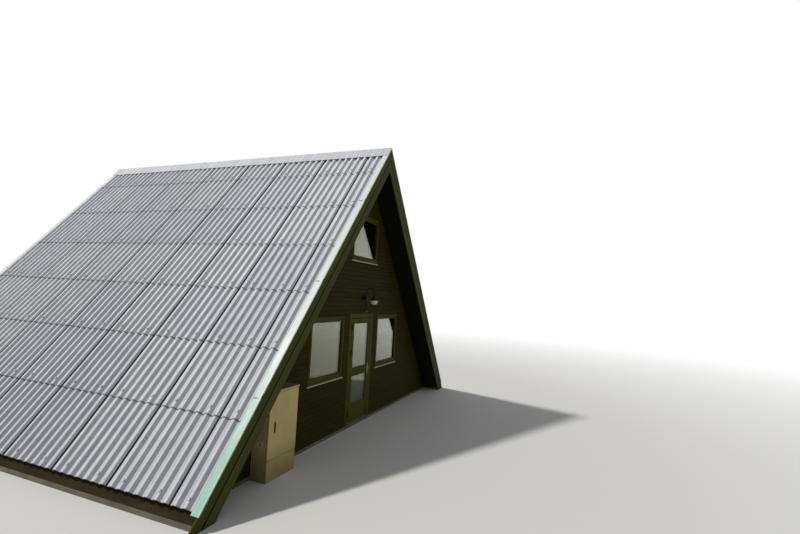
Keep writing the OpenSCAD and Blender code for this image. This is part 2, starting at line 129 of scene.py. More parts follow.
def inset(outline, distance):
    """A convex outline moved inward by a distance."""
    count = len(outline)
    area = sum(
        outline[i][0] * outline[(i + 1) % count][1] - outline[(i + 1) % count][0] * outline[i][1]
        for i in range(count)
    )
    turn = 1 if area > 0 else -1
    moved = []
    for i, (u, v) in enumerate(outline):
        before = Vector((u - outline[i - 1][0], v - outline[i - 1][1])).normalized()
        after = outline[(i + 1) % count]
        after = Vector((after[0] - u, after[1] - v)).normalized()
        normal_a = Vector((-before.y, before.x)) * turn
        normal_b = Vector((-after.y, after.x)) * turn
        shift = (normal_a + normal_b) * (distance / (1 + normal_a.dot(normal_b)))
        moved.append((u + shift.x, v + shift.y))
    return moved


def rectangle(u0, u1, v0, v1, corner=0.0):
    """A rectangle's outline, with cut corners where corner is above 0."""
    if corner <= 0:
        return [(u0, v0), (u1, v0), (u1, v1), (u0, v1)]
    return [
        (u0 + corner, v0), (u1 - corner, v0), (u1, v0 + corner), (u1, v1 - corner),
        (u1 - corner, v1), (u0 + corner, v1), (u0, v1 - corner), (u0, v0 + corner),
    ]


def members(u0, u1, v0, v1, width, side):
    """The four mitred members of a rectangular frame, each with the axis that its grain follows."""
    a0, a1, b0, b1 = u0 + side, u1 - side, v0 + width, v1 - width
    return [
        ([(u0, v0), (u1, v0), (a1, b0), (a0, b0)], 0),
        ([(a0, b1), (a1, b1), (u1, v1), (u0, v1)], 0),
        ([(u0, v0), (a0, b0), (a0, b1), (u0, v1)], 1),
        ([(a1, b0), (u1, v0), (u1, v1), (a1, b1)], 1),
    ]


def ring_faces(rings, steps, closed=False):
    """Faces between rings of points that follow each other; closed joins the last to the first."""
    faces = []
    for k in range(rings if closed else rings - 1):
        low, high = k * steps, (k + 1) % rings * steps
        for i in range(steps):
            j = (i + 1) % steps
            faces.append([low + i, low + j, high + j, high + i])
    return faces


def prism_faces(rings, steps):
    """A flat face on the first ring and on the last one, and the faces between all rings."""
    end = (rings - 1) * steps
    return [list(range(steps)), list(range(end, end + steps))] + ring_faces(rings, steps)


def arms(steps, side, other):
    """Unit arms all round an axis, from two directions square to it."""
    angles = [2 * math.pi * k / steps for k in range(steps)]
    return [side * math.cos(angle) + other * math.sin(angle) for angle in angles]


def add_object(name, data):
    """Makes an object from its data and links it to the scene."""
    made = bpy.data.objects.new(name, data)
    bpy.context.scene.collection.objects.link(made)
    return made


class Shape:
    """Points and faces of one piece, with a grain direction, a tone, and a share of painted shade and grime
    for each point.
    """

    def __init__(self):
        self.points = []
        self.faces = []
        self.finishes = []
        self.smooths = []
        self.grains = []
        self.tones = []
        self.shades_and_grime = []

    def add(self, points, faces, finish=0, grains=None, tone=0.5, shades_and_grime=None, smooth_faces=()):
        start = len(self.points)
        self.points += [Vector(p) for p in points]
        self.grains += grains or [tuple(p) for p in points]
        self.tones += [tone] * len(points)
        self.shades_and_grime += shades_and_grime or [0.0] * len(points)
        for i, face in enumerate(faces):
            self.faces.append([start + k for k in face])
            self.finishes.append(finish)
            self.smooths.append(i in smooth_faces)

    def plate(self, outline, at, depth, bevel=0.002, finish=0, along=0, tone=None, start=0.0):
        """A slab with bevelled rims: a convex outline, from start to start + depth behind it."""
        count = len(outline)
        inner = inset(outline, bevel)
        rings = [(inner, 0), (outline, bevel), (outline, depth - bevel), (inner, depth)]
        local = [(u, v, start + w) for ring, w in rings for u, v in ring]
        shift = [rng.uniform(0, 40) for _ in range(3)]
        order = {0: (1, 0, 2), 1: (0, 1, 2), 2: (0, 2, 1)}[along]
        grains = [tuple(p[order[k]] + shift[k] for k in range(3)) for p in local]
        tone = rng.random() if tone is None else tone
        self.add([at(*p) for p in local], prism_faces(4, count), finish, grains, tone)

    def block(self, low, high, bevel=0.002, finish=0, along=0, tone=None):
        """A box between two corners (x, y, z) with bevelled edges."""
        corner = min(bevel, (high[0] - low[0]) / 3, (high[2] - low[2]) / 3)
        outline = rectangle(low[0], high[0], low[2], high[2], corner)
        rim = min(bevel, (high[1] - low[1]) / 3)
        self.plate(outline, FACING_FRONT, high[1] - low[1], rim, finish, along, tone, low[1])

    def frame_of(self, u0, u1, v0, v1, width, start, depth, bevel=0.003, finish=0, side=None):
        """Four mitred members round an opening; side is the uprights' width where it differs."""
        for outline, along in members(u0, u1, v0, v1, width, side or width):
            self.plate(outline, FACING_FRONT, depth, bevel, finish, along, None, start)

    def lathe(self, profile, centre, steps, finish=0, up=(0, 0, 1), closed=False):
        """A profile of (radius, height) turned round an axis; its ends get flat faces or are joined."""
        up = Vector(up).normalized()
        side = up.orthogonal().normalized()
        other = up.cross(side)
        centre = Vector(centre)
        turned = arms(steps, side, other)
        points = [centre + up * height + arm * radius for radius, height in profile for arm in turned]
        self.round_skin(points, steps, finish, closed)

    def round_skin(self, points, steps, finish=0, closed=False):
        """Rings of points as a smooth skin, with flat ends unless the last ring meets the first."""
        faces = ring_faces(len(points) // steps, steps, closed)
        rounded = set(range(len(faces)))
        if not closed:
            faces += [list(range(steps)), list(range(len(points) - steps, len(points)))]
        self.add(points, faces, finish, smooth_faces=rounded)

    def tube(self, path, radius, steps):
        """A round bar along a path of points, with its ends closed."""
        path = [Vector(p) for p in path]
        points = []
        side = None
        for i, point in enumerate(path):
            ahead = (path[min(i + 1, len(path) - 1)] - path[max(i - 1, 0)]).normalized()
            side = ahead.orthogonal() if side is None else side - ahead * side.dot(ahead)
            side = side.normalized()
            points += [point + arm * radius for arm in arms(steps, side, ahead.cross(side))]
        self.round_skin(points, steps)

    def mirrored(self, axis):
        """A copy mirrored on one axis through the cabin's middle."""
        other = Shape()
        for name in ("faces", "finishes", "smooths", "grains", "tones", "shades_and_grime"):
            setattr(other, name, list(getattr(self, name)))
        for point in self.points:
            moved = point.copy()
            moved[axis] = -moved[axis]
            other.points.append(moved)
        return other

    def build(self, name, finishes, slot, body="root", replaces=()):
        """Makes the piece, rides it on its body and lets it stand for CAD nodes."""
        mesh = bpy.data.meshes.new(name)
        mesh.from_pydata(self.points, [], self.faces)
        for finish in finishes:
            mesh.materials.append(finish)
        mesh.polygons.foreach_set("material_index", self.finishes)
        mesh.polygons.foreach_set("use_smooth", self.smooths)
        grain = mesh.attributes.new("grain", "FLOAT_VECTOR", "POINT")
        grain.data.foreach_set("vector", [c for g in self.grains for c in g])
        for label, values in (("tone", self.tones), ("shade_and_grime", self.shades_and_grime)):
            attribute = mesh.attributes.new(label, "FLOAT", "POINT")
            attribute.data.foreach_set("value", values)
        solid = bmesh.new()
        solid.from_mesh(mesh)
        bmesh.ops.recalc_face_normals(solid, faces=solid.faces)
        for edge in solid.edges:
            edge.smooth = edge.calc_face_angle(0.0) < SHARP_ANGLE
        solid.to_mesh(mesh)
        solid.free()
        piece = add_object(name, mesh)
        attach(piece, body)
        if replaces:
            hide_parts(*replaces)


# Materials

def colour(red, green, blue):
    """A colour given as it looks on screen, from 0 to 255, as the linear values of the shader."""
    def linear(value):
        value /= 255
        return value / 12.92 if value <= 0.04045 else ((value + 0.055) / 1.055) ** 2.4
    return (linear(red), linear(green), linear(blue), 1.0)


def feed(tree, socket, value):
    """Links a node's output to a socket, or sets the socket's own value."""
    if isinstance(value, bpy.types.NodeSocket):
        tree.links.new(value, socket)
    else:
        socket.default_value = value


def add_node(tree, kind, inputs, output=0, **settings):
    """Adds a node with its settings and inputs, and gives one of its outputs."""
    made = tree.nodes.new(kind)
    for name, value in settings.items():
        setattr(made, name, value)
    for socket, value in inputs.items():
        feed(tree, made.inputs[socket], value)
    return made.outputs[output]


def seen_rays(tree):
    """1 for rays from the camera, off gloss and through glass, and 0 for all others."""
    path = tree.nodes.new("ShaderNodeLightPath")
    seen = path.outputs["Is Camera Ray"]
    for name in ("Is Glossy Ray", "Is Transmission Ray"):
        seen = add_node(tree, "ShaderNodeMath", {0: seen, 1: path.outputs[name]}, operation="MAXIMUM")
    return seen


class Graph:
    """A material's nodes, made and linked in short calls."""

    def __init__(self, name, roughness, metallic, specular):
        self.material = bpy.data.materials.new(name)
        self.material.use_nodes = True
        self.tree = self.material.node_tree
        self.shader = self.tree.nodes["Principled BSDF"]
        self.tinted = None
        self.set("Roughness", roughness)
        self.set("Metallic", metallic)
        self.set("Specular IOR Level", specular)

    def set(self, socket, value):
        feed(self.tree, self.shader.inputs[socket], value)

    def attribute(self, name, output="Fac"):
        return add_node(self.tree, "ShaderNodeAttribute", {}, output, attribute_name=name)

    def place(self):
        """The point in the cabin's own frame, which stays with the piece when it moves."""
        return add_node(self.tree, "ShaderNodeTexCoord", {}, "Object")

    def part(self, vector, axis):
        return add_node(self.tree, "ShaderNodeSeparateXYZ", {0: vector}, axis)

    def stretch(self, vector, scale):
        return add_node(self.tree, "ShaderNodeVectorMath", {0: vector, 1: scale}, operation="MULTIPLY")

    def noise(self, vector, scale, detail, rough, warp=0.0):
        inputs = {"Vector": vector, "Scale": scale, "Detail": detail, "Roughness": rough}
        inputs["Distortion"] = warp
        return add_node(self.tree, "ShaderNodeTexNoise", inputs, "Fac")

    def cells(self, vector, scale):
        return add_node(self.tree, "ShaderNodeTexVoronoi", {"Vector": vector, "Scale": scale}, "Distance")

    def math(self, operation, first, second=0.0, limit=False):
        inputs = {0: first, 1: second}
        return add_node(self.tree, "ShaderNodeMath", inputs, operation=operation, use_clamp=limit)

    def spread(self, value, low, high, to_low=0.0, to_high=1.0):
        """Maps a value from one range to another, held at the ends."""
        inputs = {"Value": value, "From Min": low, "From Max": high, "To Min": to_low, "To Max": to_high}
        return add_node(self.tree, "ShaderNodeMapRange", inputs, "Result")

    def mix(self, share, first, second, blend="MIX"):
        # Inputs 6 and 7 and output 2 are the colour pair and its result
        inputs = {"Factor": share, 6: first, 7: second}
        return add_node(self.tree, "ShaderNodeMix", inputs, 2, data_type="RGBA", blend_type=blend)

    def layer(self, over, value, *limits):
        """Lays a colour over the present one, by a share or by a value spread over its limits."""
        share = self.spread(value, *limits) if limits else value
        self.tinted = self.mix(share, self.tinted, over)

    def bump(self, height, distance, strength=1.0, normal=None):
        inputs = {"Height": height, "Distance": distance, "Strength": strength}
        if normal is not None:
            inputs["Normal"] = normal
        bumped = add_node(self.tree, "ShaderNodeBump", inputs)
        self.set("Normal", bumped)
        return bumped


def stained_wood(name, base, deep, pale, ground_dirt, rough=0.72, grain=True):
    """Stained boards: fibres along the grain, blotches, a tone for each board, painted shade in grooves and
    gaps, and soil splashed up near the ground.
    """
    g = Graph(name, rough, 0.0, 0.07)
    # A yellow specular tint: painted reflection of the green and yellow surroundings
    g.set("Specular Tint", (1.0, 0.95, 0.5, 1))
    vector = g.attribute("grain", "Vector") if grain else g.place()
    fibres = g.noise(g.stretch(vector, (90, 3.0, 90)), 1.0, 5, 0.6, 0.6)
    blotches = g.noise(g.stretch(vector, (7, 1.2, 7)), 1.0, 3, 0.5)
    rays = g.noise(g.stretch(vector, (300, 9, 300)), 1.0, 2, 0.5)
    g.tinted = g.mix(g.spread(fibres, 0.32, 0.7), deep, base)
    g.layer(pale, blotches, 0.45, 0.8, 0.0, 0.55)
    g.layer(deep, rays, 0.62, 0.8, 0.0, 0.5)
    if grain:
        darker = g.mix(1.0, g.tinted, (0.62, 0.62, 0.62, 1), "MULTIPLY")
        g.layer(darker, g.attribute("tone"), 0.0, 1.0, 0.0, 0.42)
        # Painted shade where points are marked: the board grooves of the walls and the gap between the
        # barge board layers
        g.layer(g.mix(1.0, g.tinted, (0.1, 0.1, 0.1, 1), "MULTIPLY"), g.attribute("shade_and_grime"))
    height = g.part(g.place(), 2)
    splash = g.noise(g.stretch(g.place(), (3.5, 3.5, 9)), 1.0, 5, 0.6)
    low = g.math("MULTIPLY", g.spread(height, 0.0, 0.55, 1.0, 0.0), g.spread(splash, 0.3, 0.65))
    g.layer(colour(52, 44, 24), g.math("MULTIPLY", low, ground_dirt, True))
    g.set("Base Color", g.tinted)
    g.set("Roughness", g.spread(fibres, 0.3, 0.7, rough + 0.12, rough - 0.1))
    g.bump(g.math("ADD", fibres, g.math("MULTIPLY", rays, 0.5)), 0.0007)
    return g.material


def fibre_cement():
    """Weathered corrugated sheets: mottled grey, faint runs, grime and painted shadow at laps, seams and
    edges, painted shade on the flanks and a painted shadow line in each trough.
    """
    g = Graph("fibre_cement_sheet", 0.72, 0.0, 0.35)
    vector = g.attribute("grain", "Vector")
    clouds = g.noise(vector, 5.0, 5, 0.6)
    runs = g.noise(g.stretch(vector, (55, 1.6, 1)), 1.0, 4, 0.6)
    speckle = g.noise(vector, 190.0, 3, 0.7)
    lichen = g.cells(vector, 38.0)
    mottle = g.noise(vector, 52.0, 5, 0.75)
    g.tinted = g.mix(g.spread(clouds, 0.35, 0.7), colour(202, 205, 211), colour(221, 223, 228))
    g.layer(colour(160, 163, 169), runs, 0.5, 0.78, 0.0, 0.35)
    g.layer(colour(138, 141, 148), mottle, 0.5, 0.7, 0.0, 0.3)
    g.layer(colour(222, 224, 228), mottle, 0.5, 0.3, 0.0, 0.35)
    g.layer(colour(130, 133, 140), speckle, 0.55, 0.75, 0.0, 0.35)
    along = g.math("SUBTRACT", g.part(g.place(), 1), FRONT + FIRST_CREST)
    turn = g.math("FRACT", g.math("ADD", g.math("DIVIDE", along, PITCH), 100.0))
    # A thin painted shadow line along each trough, a little off its middle, streaked by the runs
    off_line = g.math("ABSOLUTE", g.math("SUBTRACT", turn, 0.47))
    trough_shadow_line = g.spread(off_line, 0.015, 0.045, 0.7, 0.0)
    g.layer(colour(104, 106, 114), g.math("MULTIPLY", trough_shadow_line, g.spread(runs, 0.2, 0.6, 0.6, 1.0)))
    # Painted shade on both flanks of each corrugation, strongest at their middles
    off_trough = g.math("ABSOLUTE", g.math("SUBTRACT", turn, 0.5))
    off_flank = g.math("ABSOLUTE", g.math("SUBTRACT", off_trough, 0.25))
    g.layer(colour(118, 121, 128), off_flank, 0.09, 0.15, 0.36, 0.0)
    g.layer(colour(110, 113, 119), g.part(g.place(), 2), 0.2, 4.2, 0.22, 0.0)
    spots = g.math("MULTIPLY", g.spread(lichen, 0.10, 0.16, 1.0, 0.0), g.spread(clouds, 0.5, 0.62))
    g.layer(colour(214, 216, 208), g.math("MULTIPLY", spots, 0.4))
    tone = g.attribute("tone")
    hue = g.mix(g.spread(tone, 0.3, 0.7), colour(128, 133, 146), colour(138, 140, 130))
    g.layer(hue, tone, 0.0, 1.0, 0.2, 0.06)
    # Grime and painted shadow just below the next course's lap, along each sheet's lower edge and at the
    # seams
    up = g.part(vector, 1)
    ragged = g.math("MULTIPLY", g.math("SUBTRACT", runs, 0.5), 0.012)
    up = g.math("ADD", up, ragged)
    under_lap = g.spread(up, COURSE - 0.02, COURSE - 0.004, 0.0, 0.85)
    lower_edge = g.spread(up, 0.002, 0.008, 0.7, 0.0)
    grime_and_shadow = g.math("MAXIMUM", under_lap, lower_edge)
    grime_and_shadow = g.math("MAXIMUM", grime_and_shadow, g.attribute("shade_and_grime"))
    g.layer(colour(30, 31, 40), grime_and_shadow)
    g.set("Base Color", g.tinted)
    g.set("Roughness", g.spread(speckle, 0.3, 0.8, 0.62, 0.85))
    first = g.bump(g.noise(vector, 45.0, 5, 0.6), 0.0012, 0.6)
    g.bump(speckle, 0.0004, 0.8, first)
    return g.material


def mint_metal():
    """Painted verge caps: whiter higher up, turquoise near the ground, streaked and dirty, with a painted
    pale highlight on the outer fold and lip and painted shadow with grime below each joint.
    """
    g = Graph("verge_cap_paint", 0.42, 0.0, 0.5)
    place = g.place()
    height = g.part(place, 2)
    chalk = g.noise(g.stretch(place, (2.0, 12, 2.0)), 1.0, 5, 0.6)
    fine = g.noise(place, 130.0, 3, 0.65)
    streaks = g.noise(g.stretch(g.attribute("grain", "Vector"), (130, 2.2, 1)), 1.0, 4, 0.55)
    patches = g.noise(g.stretch(place, (1.5, 30, 1.5)), 1.0, 4, 0.6, 0.8)
    wobble = g.math("MULTIPLY", g.math("SUBTRACT", patches, 0.5), 1.1)
    turquoise = g.math("ADD", g.spread(height, 0.65, 1.9, 1.0, 0.0), wobble)
    turquoise = g.math("MULTIPLY", turquoise, g.spread(height, 1.5, 2.0, 1.0, 0.12), True)
    g.tinted = g.mix(turquoise, colour(198, 203, 200), colour(100, 156, 140))
    green = g.math("MULTIPLY", g.spread(height, 0.15, 0.8, 1.0, 0.0), g.spread(patches, 0.35, 0.6))
    g.layer(colour(106, 160, 120), g.math("MULTIPLY", green, 0.55))
    g.layer(colour(206, 212, 205), chalk, 0.52, 0.72, 0.0, 0.35)
    g.layer(colour(176, 190, 180), streaks, 0.5, 0.8, 0.0, 0.4)
    g.layer(colour(120, 130, 118), fine, 0.6, 0.78, 0.0, 0.4)
    flecks = g.noise(place, 60.0, 4, 0.75)
    g.layer(colour(146, 160, 148), flecks, 0.55, 0.72, 0.0, 0.35)
    g.layer(colour(212, 218, 213), flecks, 0.45, 0.3, 0.0, 0.4)
    # A painted pale highlight along the outer fold, lip and hem, where the tone is raised
    pale_fold_highlight = g.math("MULTIPLY", g.attribute("tone"), g.spread(streaks, 0.3, 0.6, 0.5, 0.95))
    g.layer(colour(190, 198, 158), pale_fold_highlight)
    # Painted shadow and grime below each joint and at the lower ends of the lengths
    g.layer(colour(44, 50, 44), g.attribute("shade_and_grime"))
    g.set("Base Color", g.tinted)
    g.set("Roughness", g.spread(chalk, 0.3, 0.7, 0.34, 0.56))
    first = g.bump(chalk, 0.0012, 0.4)
    g.bump(fine, 0.0003, 0.5, first)
    return g.material


def worn_metal(name, base, dark, roughness, metallic, scale=30.0, gloss=0.5):
    g = Graph(name, roughness, metallic, gloss)
    place = g.place()
    clouds = g.noise(place, scale, 5, 0.6)
    fine = g.noise(place, scale * 14, 3, 0.6)
    tinted = g.mix(g.spread(clouds, 0.4, 0.75), base, dark)
    g.set("Base Color", g.mix(g.spread(fine, 0.55, 0.8, 0.0, 0.3), tinted, dark))
    g.set("Roughness", g.spread(clouds, 0.3, 0.75, roughness, min(1.0, roughness + 0.22)))
    g.bump(fine, 0.0002, 0.6)
    return g.material


def cabinet_paint(name, light, shade):
    """Beige glass-fibre housing: fine orange-peel, faint stains and soil splash near the ground."""
    g = Graph(name, 0.58, 0.0, 0.25)
    place = g.place()
    height = g.part(place, 2)
    clouds = g.noise(g.stretch(place, (3, 3, 1.6)), 1.0, 5, 0.6)
    runs = g.noise(g.stretch(place, (38, 38, 2.2)), 1.0, 4, 0.6)
    peel = g.noise(place, 420.0, 2, 0.5)
    g.tinted = g.mix(g.spread(clouds, 0.35, 0.7), shade, light)
    g.layer(shade, runs, 0.52, 0.8, 0.0, 0.35)
    soil = g.math("MULTIPLY", g.spread(height, 0.0, 0.5, 1.0, 0.0), g.spread(clouds, 0.3, 0.6, 0.3))
    g.layer(colour(98, 86, 50), g.math("MULTIPLY", soil, 0.85))
    g.set("Base Color", g.tinted)
    g.set("Roughness", g.spread(runs, 0.4, 0.8, 0.44, 0.62))
    first = g.bump(clouds, 0.0015, 0.25)
    g.bump(peel, 0.00025, 0.5, first)
    return g.material


def concrete():
    g = Graph("cast_concrete", 0.85, 0.0, 0.3)
    place = g.place()
    clouds = g.noise(place, 3.0, 6, 0.6)
    pores = g.cells(place, 90.0)
    grit = g.noise(place, 240.0, 4, 0.7)
    g.tinted = g.mix(g.spread(clouds, 0.35, 0.7), colour(84, 79, 64), colour(116, 110, 92))
    g.layer(colour(66, 62, 50), grit, 0.55, 0.75, 0.0, 0.5)
    holes = g.spread(pores, 0.05, 0.12, 1.0, 0.0)
    g.layer(colour(60, 58, 50), g.math("MULTIPLY", holes, 0.5))
    g.set("Base Color", g.tinted)
    first = g.bump(grit, 0.001, 0.6)
    g.bump(g.math("MULTIPLY", holes, -1.0), 0.0015, 0.5, first)
    return g.material


def clear_glass(name, tint):
    g = Graph(name, 0.0, 0.0, 0.5)
    g.set("Transmission Weight", 1.0)
    g.set("IOR", 1.5)
    # A yellow specular tint: painted reflection of the grass outside
    g.set("Specular Tint", (1.0, 1.0, 0.6, 1))
    dust = g.noise(g.place(), 9.0, 5, 0.6)
    g.set("Base Color", g.mix(g.spread(dust, 0.4, 0.8, 0.0, 0.5), tint, colour(214, 218, 208)))
    return g.material


def opal_glass():
    g = Graph("opal_bowl", 0.28, 0.0, 0.5)
    g.set("Subsurface Weight", 0.35)
    g.set("Subsurface Radius", (0.02, 0.02, 0.018))
    clouds = g.noise(g.place(), 22.0, 4, 0.5)
    g.set("Base Color", g.mix(g.spread(clouds, 0.35, 0.7), colour(214, 213, 188), colour(198, 196, 170)))
    return g.material


def rubber():
    g = Graph("glazing_seal", 0.7, 0.0, 0.35)
    fine = g.noise(g.place(), 300.0, 3, 0.6)
    g.set("Base Color", g.mix(g.spread(fine, 0.3, 0.7), colour(20, 21, 20), colour(36, 37, 35)))
    g.bump(fine, 0.0002, 0.6)
    return g.material


SHEETS = fibre_cement()
MINT = mint_metal()
BARGE = stained_wood(
    "barge_board_stain", colour(75, 80, 40), colour(60, 64, 29), colour(82, 82, 47), 0.25)
WALL = stained_wood(
    "wall_board_stain", colour(45, 43, 8), colour(37, 36, 7), colour(52, 45, 10), 0.25)
FRAME = stained_wood(
    "frame_stain", colour(73, 73, 22), colour(58, 59, 17), colour(80, 78, 27), 0.2, 0.6)
# Dark stain for the soffit, darkened further as painted shade under the overhang
SOFFIT_WOOD = stained_wood(
    "soffit_stain_and_shade", colour(26, 26, 12), colour(18, 18, 8), colour(32, 31, 15), 0.2)
# Dark brown roof timber: painted shade below the sheets at the eave
FOOT_WOOD = stained_wood(
    "roof_timber", colour(44, 37, 24), colour(28, 24, 16), colour(58, 48, 30), 0.3, 0.75, False)
FLOOR_WOOD = stained_wood(
    "loft_boards", colour(146, 112, 72), colour(108, 80, 50), colour(166, 132, 90), 0.0, 0.6, False)
SILL_METAL = worn_metal("sill_aluminium", colour(172, 170, 142), colour(132, 130, 104), 0.45, 0.25)
# The sill's top face is coloured darker than its front
SILL_TOP = worn_metal("sill_darker_top", colour(96, 92, 70), colour(66, 63, 46), 0.6, 0.2, 18.0)
IRON = worn_metal("black_iron", colour(14, 14, 9), colour(24, 23, 15), 0.6, 0.0, gloss=0.1)
LEVER_METAL = worn_metal("brushed_lever", colour(148, 148, 128), colour(100, 100, 84), 0.36, 0.5)
THRESHOLD_METAL = worn_metal("threshold_metal", colour(74, 71, 58), colour(48, 46, 36), 0.5, 0.3)
SCREW = worn_metal("screw_heads", colour(150, 150, 144), colour(96, 92, 82), 0.38, 0.8)
CAP_PLASTIC = worn_metal("fixing_caps", colour(204, 206, 210), colour(160, 162, 166), 0.6, 0.0)
WASHER = worn_metal("fixing_washers", colour(116, 118, 124), colour(86, 88, 94), 0.7, 0.0)
KNOB = worn_metal("switch_knob", colour(200, 200, 186), colour(160, 160, 146), 0.5, 0.0)
CABINET = cabinet_paint("cabinet_beige", colour(198, 182, 124), colour(182, 165, 108))
CABINET_RING = cabinet_paint("cabinet_lock_ring", colour(232, 220, 168), colour(214, 200, 146))
# Darker colour for the recessed core between the ribs: painted shade
CABINET_GROOVE_SHADE = cabinet_paint("cabinet_groove_shade", colour(132, 116, 66), colour(110, 96, 52))
LID_DIRT = cabinet_paint("cabinet_lid_top", colour(112, 106, 84), colour(88, 84, 66))
CONCRETE = concrete()
PANE = clear_glass("window_pane", colour(236, 240, 232))
OPAL = opal_glass()
SEAL = rubber()


def dress(node, finish):
    """Gives a CAD node that stays its finish."""
    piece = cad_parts[node]
    for place in piece.material_slots:
        place.material = finish
    if not piece.material_slots:
        piece.data.materials.append(finish)


# Roof sheets

def flank(t):
    """A straight flank with rounded ends, from 0 to 1."""
    t = clamp(t)
    if t < ROUNDING:
        return t * t / (2 * ROUNDING * (1 - ROUNDING))
    if t > 1 - ROUNDING:
        return 1 - flank(1 - t)
    return (t - ROUNDING / 2) / (1 - ROUNDING)


def wave(y):
    """Height of the corrugations at a distance from the front verge, from -1 to 1."""
    turn = ((y - FIRST_CREST) / PITCH) % 1
    away = min(turn, 1 - turn) * PITCH
    return 1 - 2 * flank((away - FLAT / 2) / FLANK)


def wave_points(near, far, extra):
    """Places across a sheet: the corners of each flat and flank, both edges and any extra ones."""
    hold = 0.04
    corners = [-hold, 0, ROUNDING / 2, ROUNDING, ROUNDING + hold]
    corners += [1 - share for share in corners]
    away = [FLAT / 2 + FLANK * share for share in corners]
    places = {0.0, PITCH / 2} | set(away) | {-a for a in away}
    first = math.floor((near - FIRST_CREST) / PITCH) - 1
    last = math.ceil((far - FIRST_CREST) / PITCH) + 1
    found = [FIRST_CREST + k * PITCH + a for k in range(first, last + 1) for a in places]
    edges = [near, far] + [y for y in extra if near < y < far]
    inside = [y for y in found if near < y < far and min(abs(y - e) for e in edges) > 0.0012]
    return sorted(inside + edges)


FREE_EDGE = 0.008
SIDE_LAP = 0.05
SEAM_LIFT = 0.0028
# A sheet sinks under the next one from this far before its edge, over this length
SINK_FROM = 0.09
SINK_LENGTH = 0.045
# Where grime and painted shadow lie: this far from a free edge, and between these distances from a seam
EDGE_GRIME_AND_SHADOW = 0.005
SEAM_GRIME_AND_SHADOW = (-0.010, 0.004)


def sheet_columns():
    """The near and far edge of each column of sheets, as distances from the front verge."""
    edges = [FIRST_JOINT + FREE_EDGE + k * COVER for k in range(COLUMNS - 1)]
    near = [VERGE_GAP] + edges
    far = [edge + SIDE_LAP for edge in edges] + [LENGTH - VERGE_GAP]
    return list(zip(near, far))


def sheet_lift(y, near, far, first, last):
    """How far a sheet rises over the one before it and sinks under the next."""
    rise = 0.0 if first else SEAM_LIFT * (1 - smooth((y - near) / SIDE_LAP))
    return rise if last else rise - SEAM_LIFT * smooth((y - far + SINK_FROM) / SINK_LENGTH)


def sheet_grime_and_shadow(y, near, far, first, last):
    """1 where grime and painted shadow lie at a sheet's free edge and at the seam with the next one,
    otherwise 0.
    """
    edge = not first and y < near + EDGE_GRIME_AND_SHADOW
    seam = far - SIDE_LAP
    covered = not last and seam + SEAM_GRIME_AND_SHADOW[0] < y < seam + SEAM_GRIME_AND_SHADOW[1]
    return 1.0 if edge or covered else 0.0


def sheet(shape, side, near, far, lower, upper, first, last):
    """One thin corrugated sheet, from its lower end up to its upper end."""
    seam = far - SIDE_LAP
    # Extra places across, next to each change of painted shadow and grime
    marks = [seam - 0.014, seam - 0.009, seam + 0.003, near + 0.004, near + 0.009]
    ys = wave_points(near, far, marks)
    count = len(ys) - 1
    tone = rng.random()
    shift = rng.uniform(0, 40)
    middle_low = CREST - WAVE_HEIGHT / 2 - SHEET_SKIN / 2
    step = 0.001
    points = []
    grains = []
    shades_and_grime = []
    for skin in (1, -1):
        for end in (0, 1):
            down = lower if end == 0 else upper
            share = (lower - down) / SHEET_LENGTH
            middle = middle_low - TILT * share
            for y in ys:
                lift = sheet_lift(y, near, far, first, last)
                slope = (wave(y + step) - wave(y - step)) * WAVE_HEIGHT / 2 / (2 * step)
                long = math.hypot(1, slope)
                out = middle + lift + wave(y) * WAVE_HEIGHT / 2 + skin * SHEET_SKIN / 2 / long
                across = FRONT + y - skin * slope * SHEET_SKIN / 2 / long
                across = clamp(across, FRONT + near - 0.003, FRONT + far + 0.003)
                if first:
                    across = max(across, FRONT + VERGE_GAP)
                if last:
                    across = min(across, -FRONT - VERGE_GAP)
                points.append(on_slope(side, down, out, across))
                grains.append((y + shift, (lower - down), shift * 0.37))
                shades_and_grime.append(sheet_grime_and_shadow(y, near, far, first, last))
    row = count + 1
    faces = []
    for skin in range(2):
        base = skin * 2 * row
        for i in range(count):
            faces.append([base + i, base + i + 1, base + row + i + 1, base + row + i])
    rounded = set(range(len(faces)))
    for end in range(2):
        for i in range(count):
            top, under = end * row + i, 2 * row + end * row + i
            faces.append([top, top + 1, under + 1, under])
    for i in (0, count):
        faces.append([i, row + i, 3 * row + i, 2 * row + i])
    shape.add(points, faces, 0, grains, tone, shades_and_grime, rounded)


# Fixings: up from a sheet's lower end, free strip at the verges, and the fixed crests of each column
FIXING_UP = 0.100
FIXING_MARGIN = 0.12
FIXED_CRESTS = (1, 5)
# Upper end of the top course, down the slope from the ridge
TOP_COURSE_END = 0.06


def fixing(shape, side, down, y):
    """A round cap on a dark washer, on a crest."""
    at = on_slope(side, down, 0.0, FRONT + y)
    _, out = slope_axes(side)
    base = CREST - TILT * FIXING_UP / SHEET_LENGTH
    shape.lathe([(0.021, base - 0.003), (0.021, base + 0.0015), (0.018, base + 0.002)], at, 12, 2, out)
    cap = [(0.017, 0.0015), (0.017, 0.006), (0.014, 0.010), (0.008, 0.0125), (0.002, 0.013)]
    shape.lathe([(radius, base + height) for radius, height in cap], at, 12, 1, out)


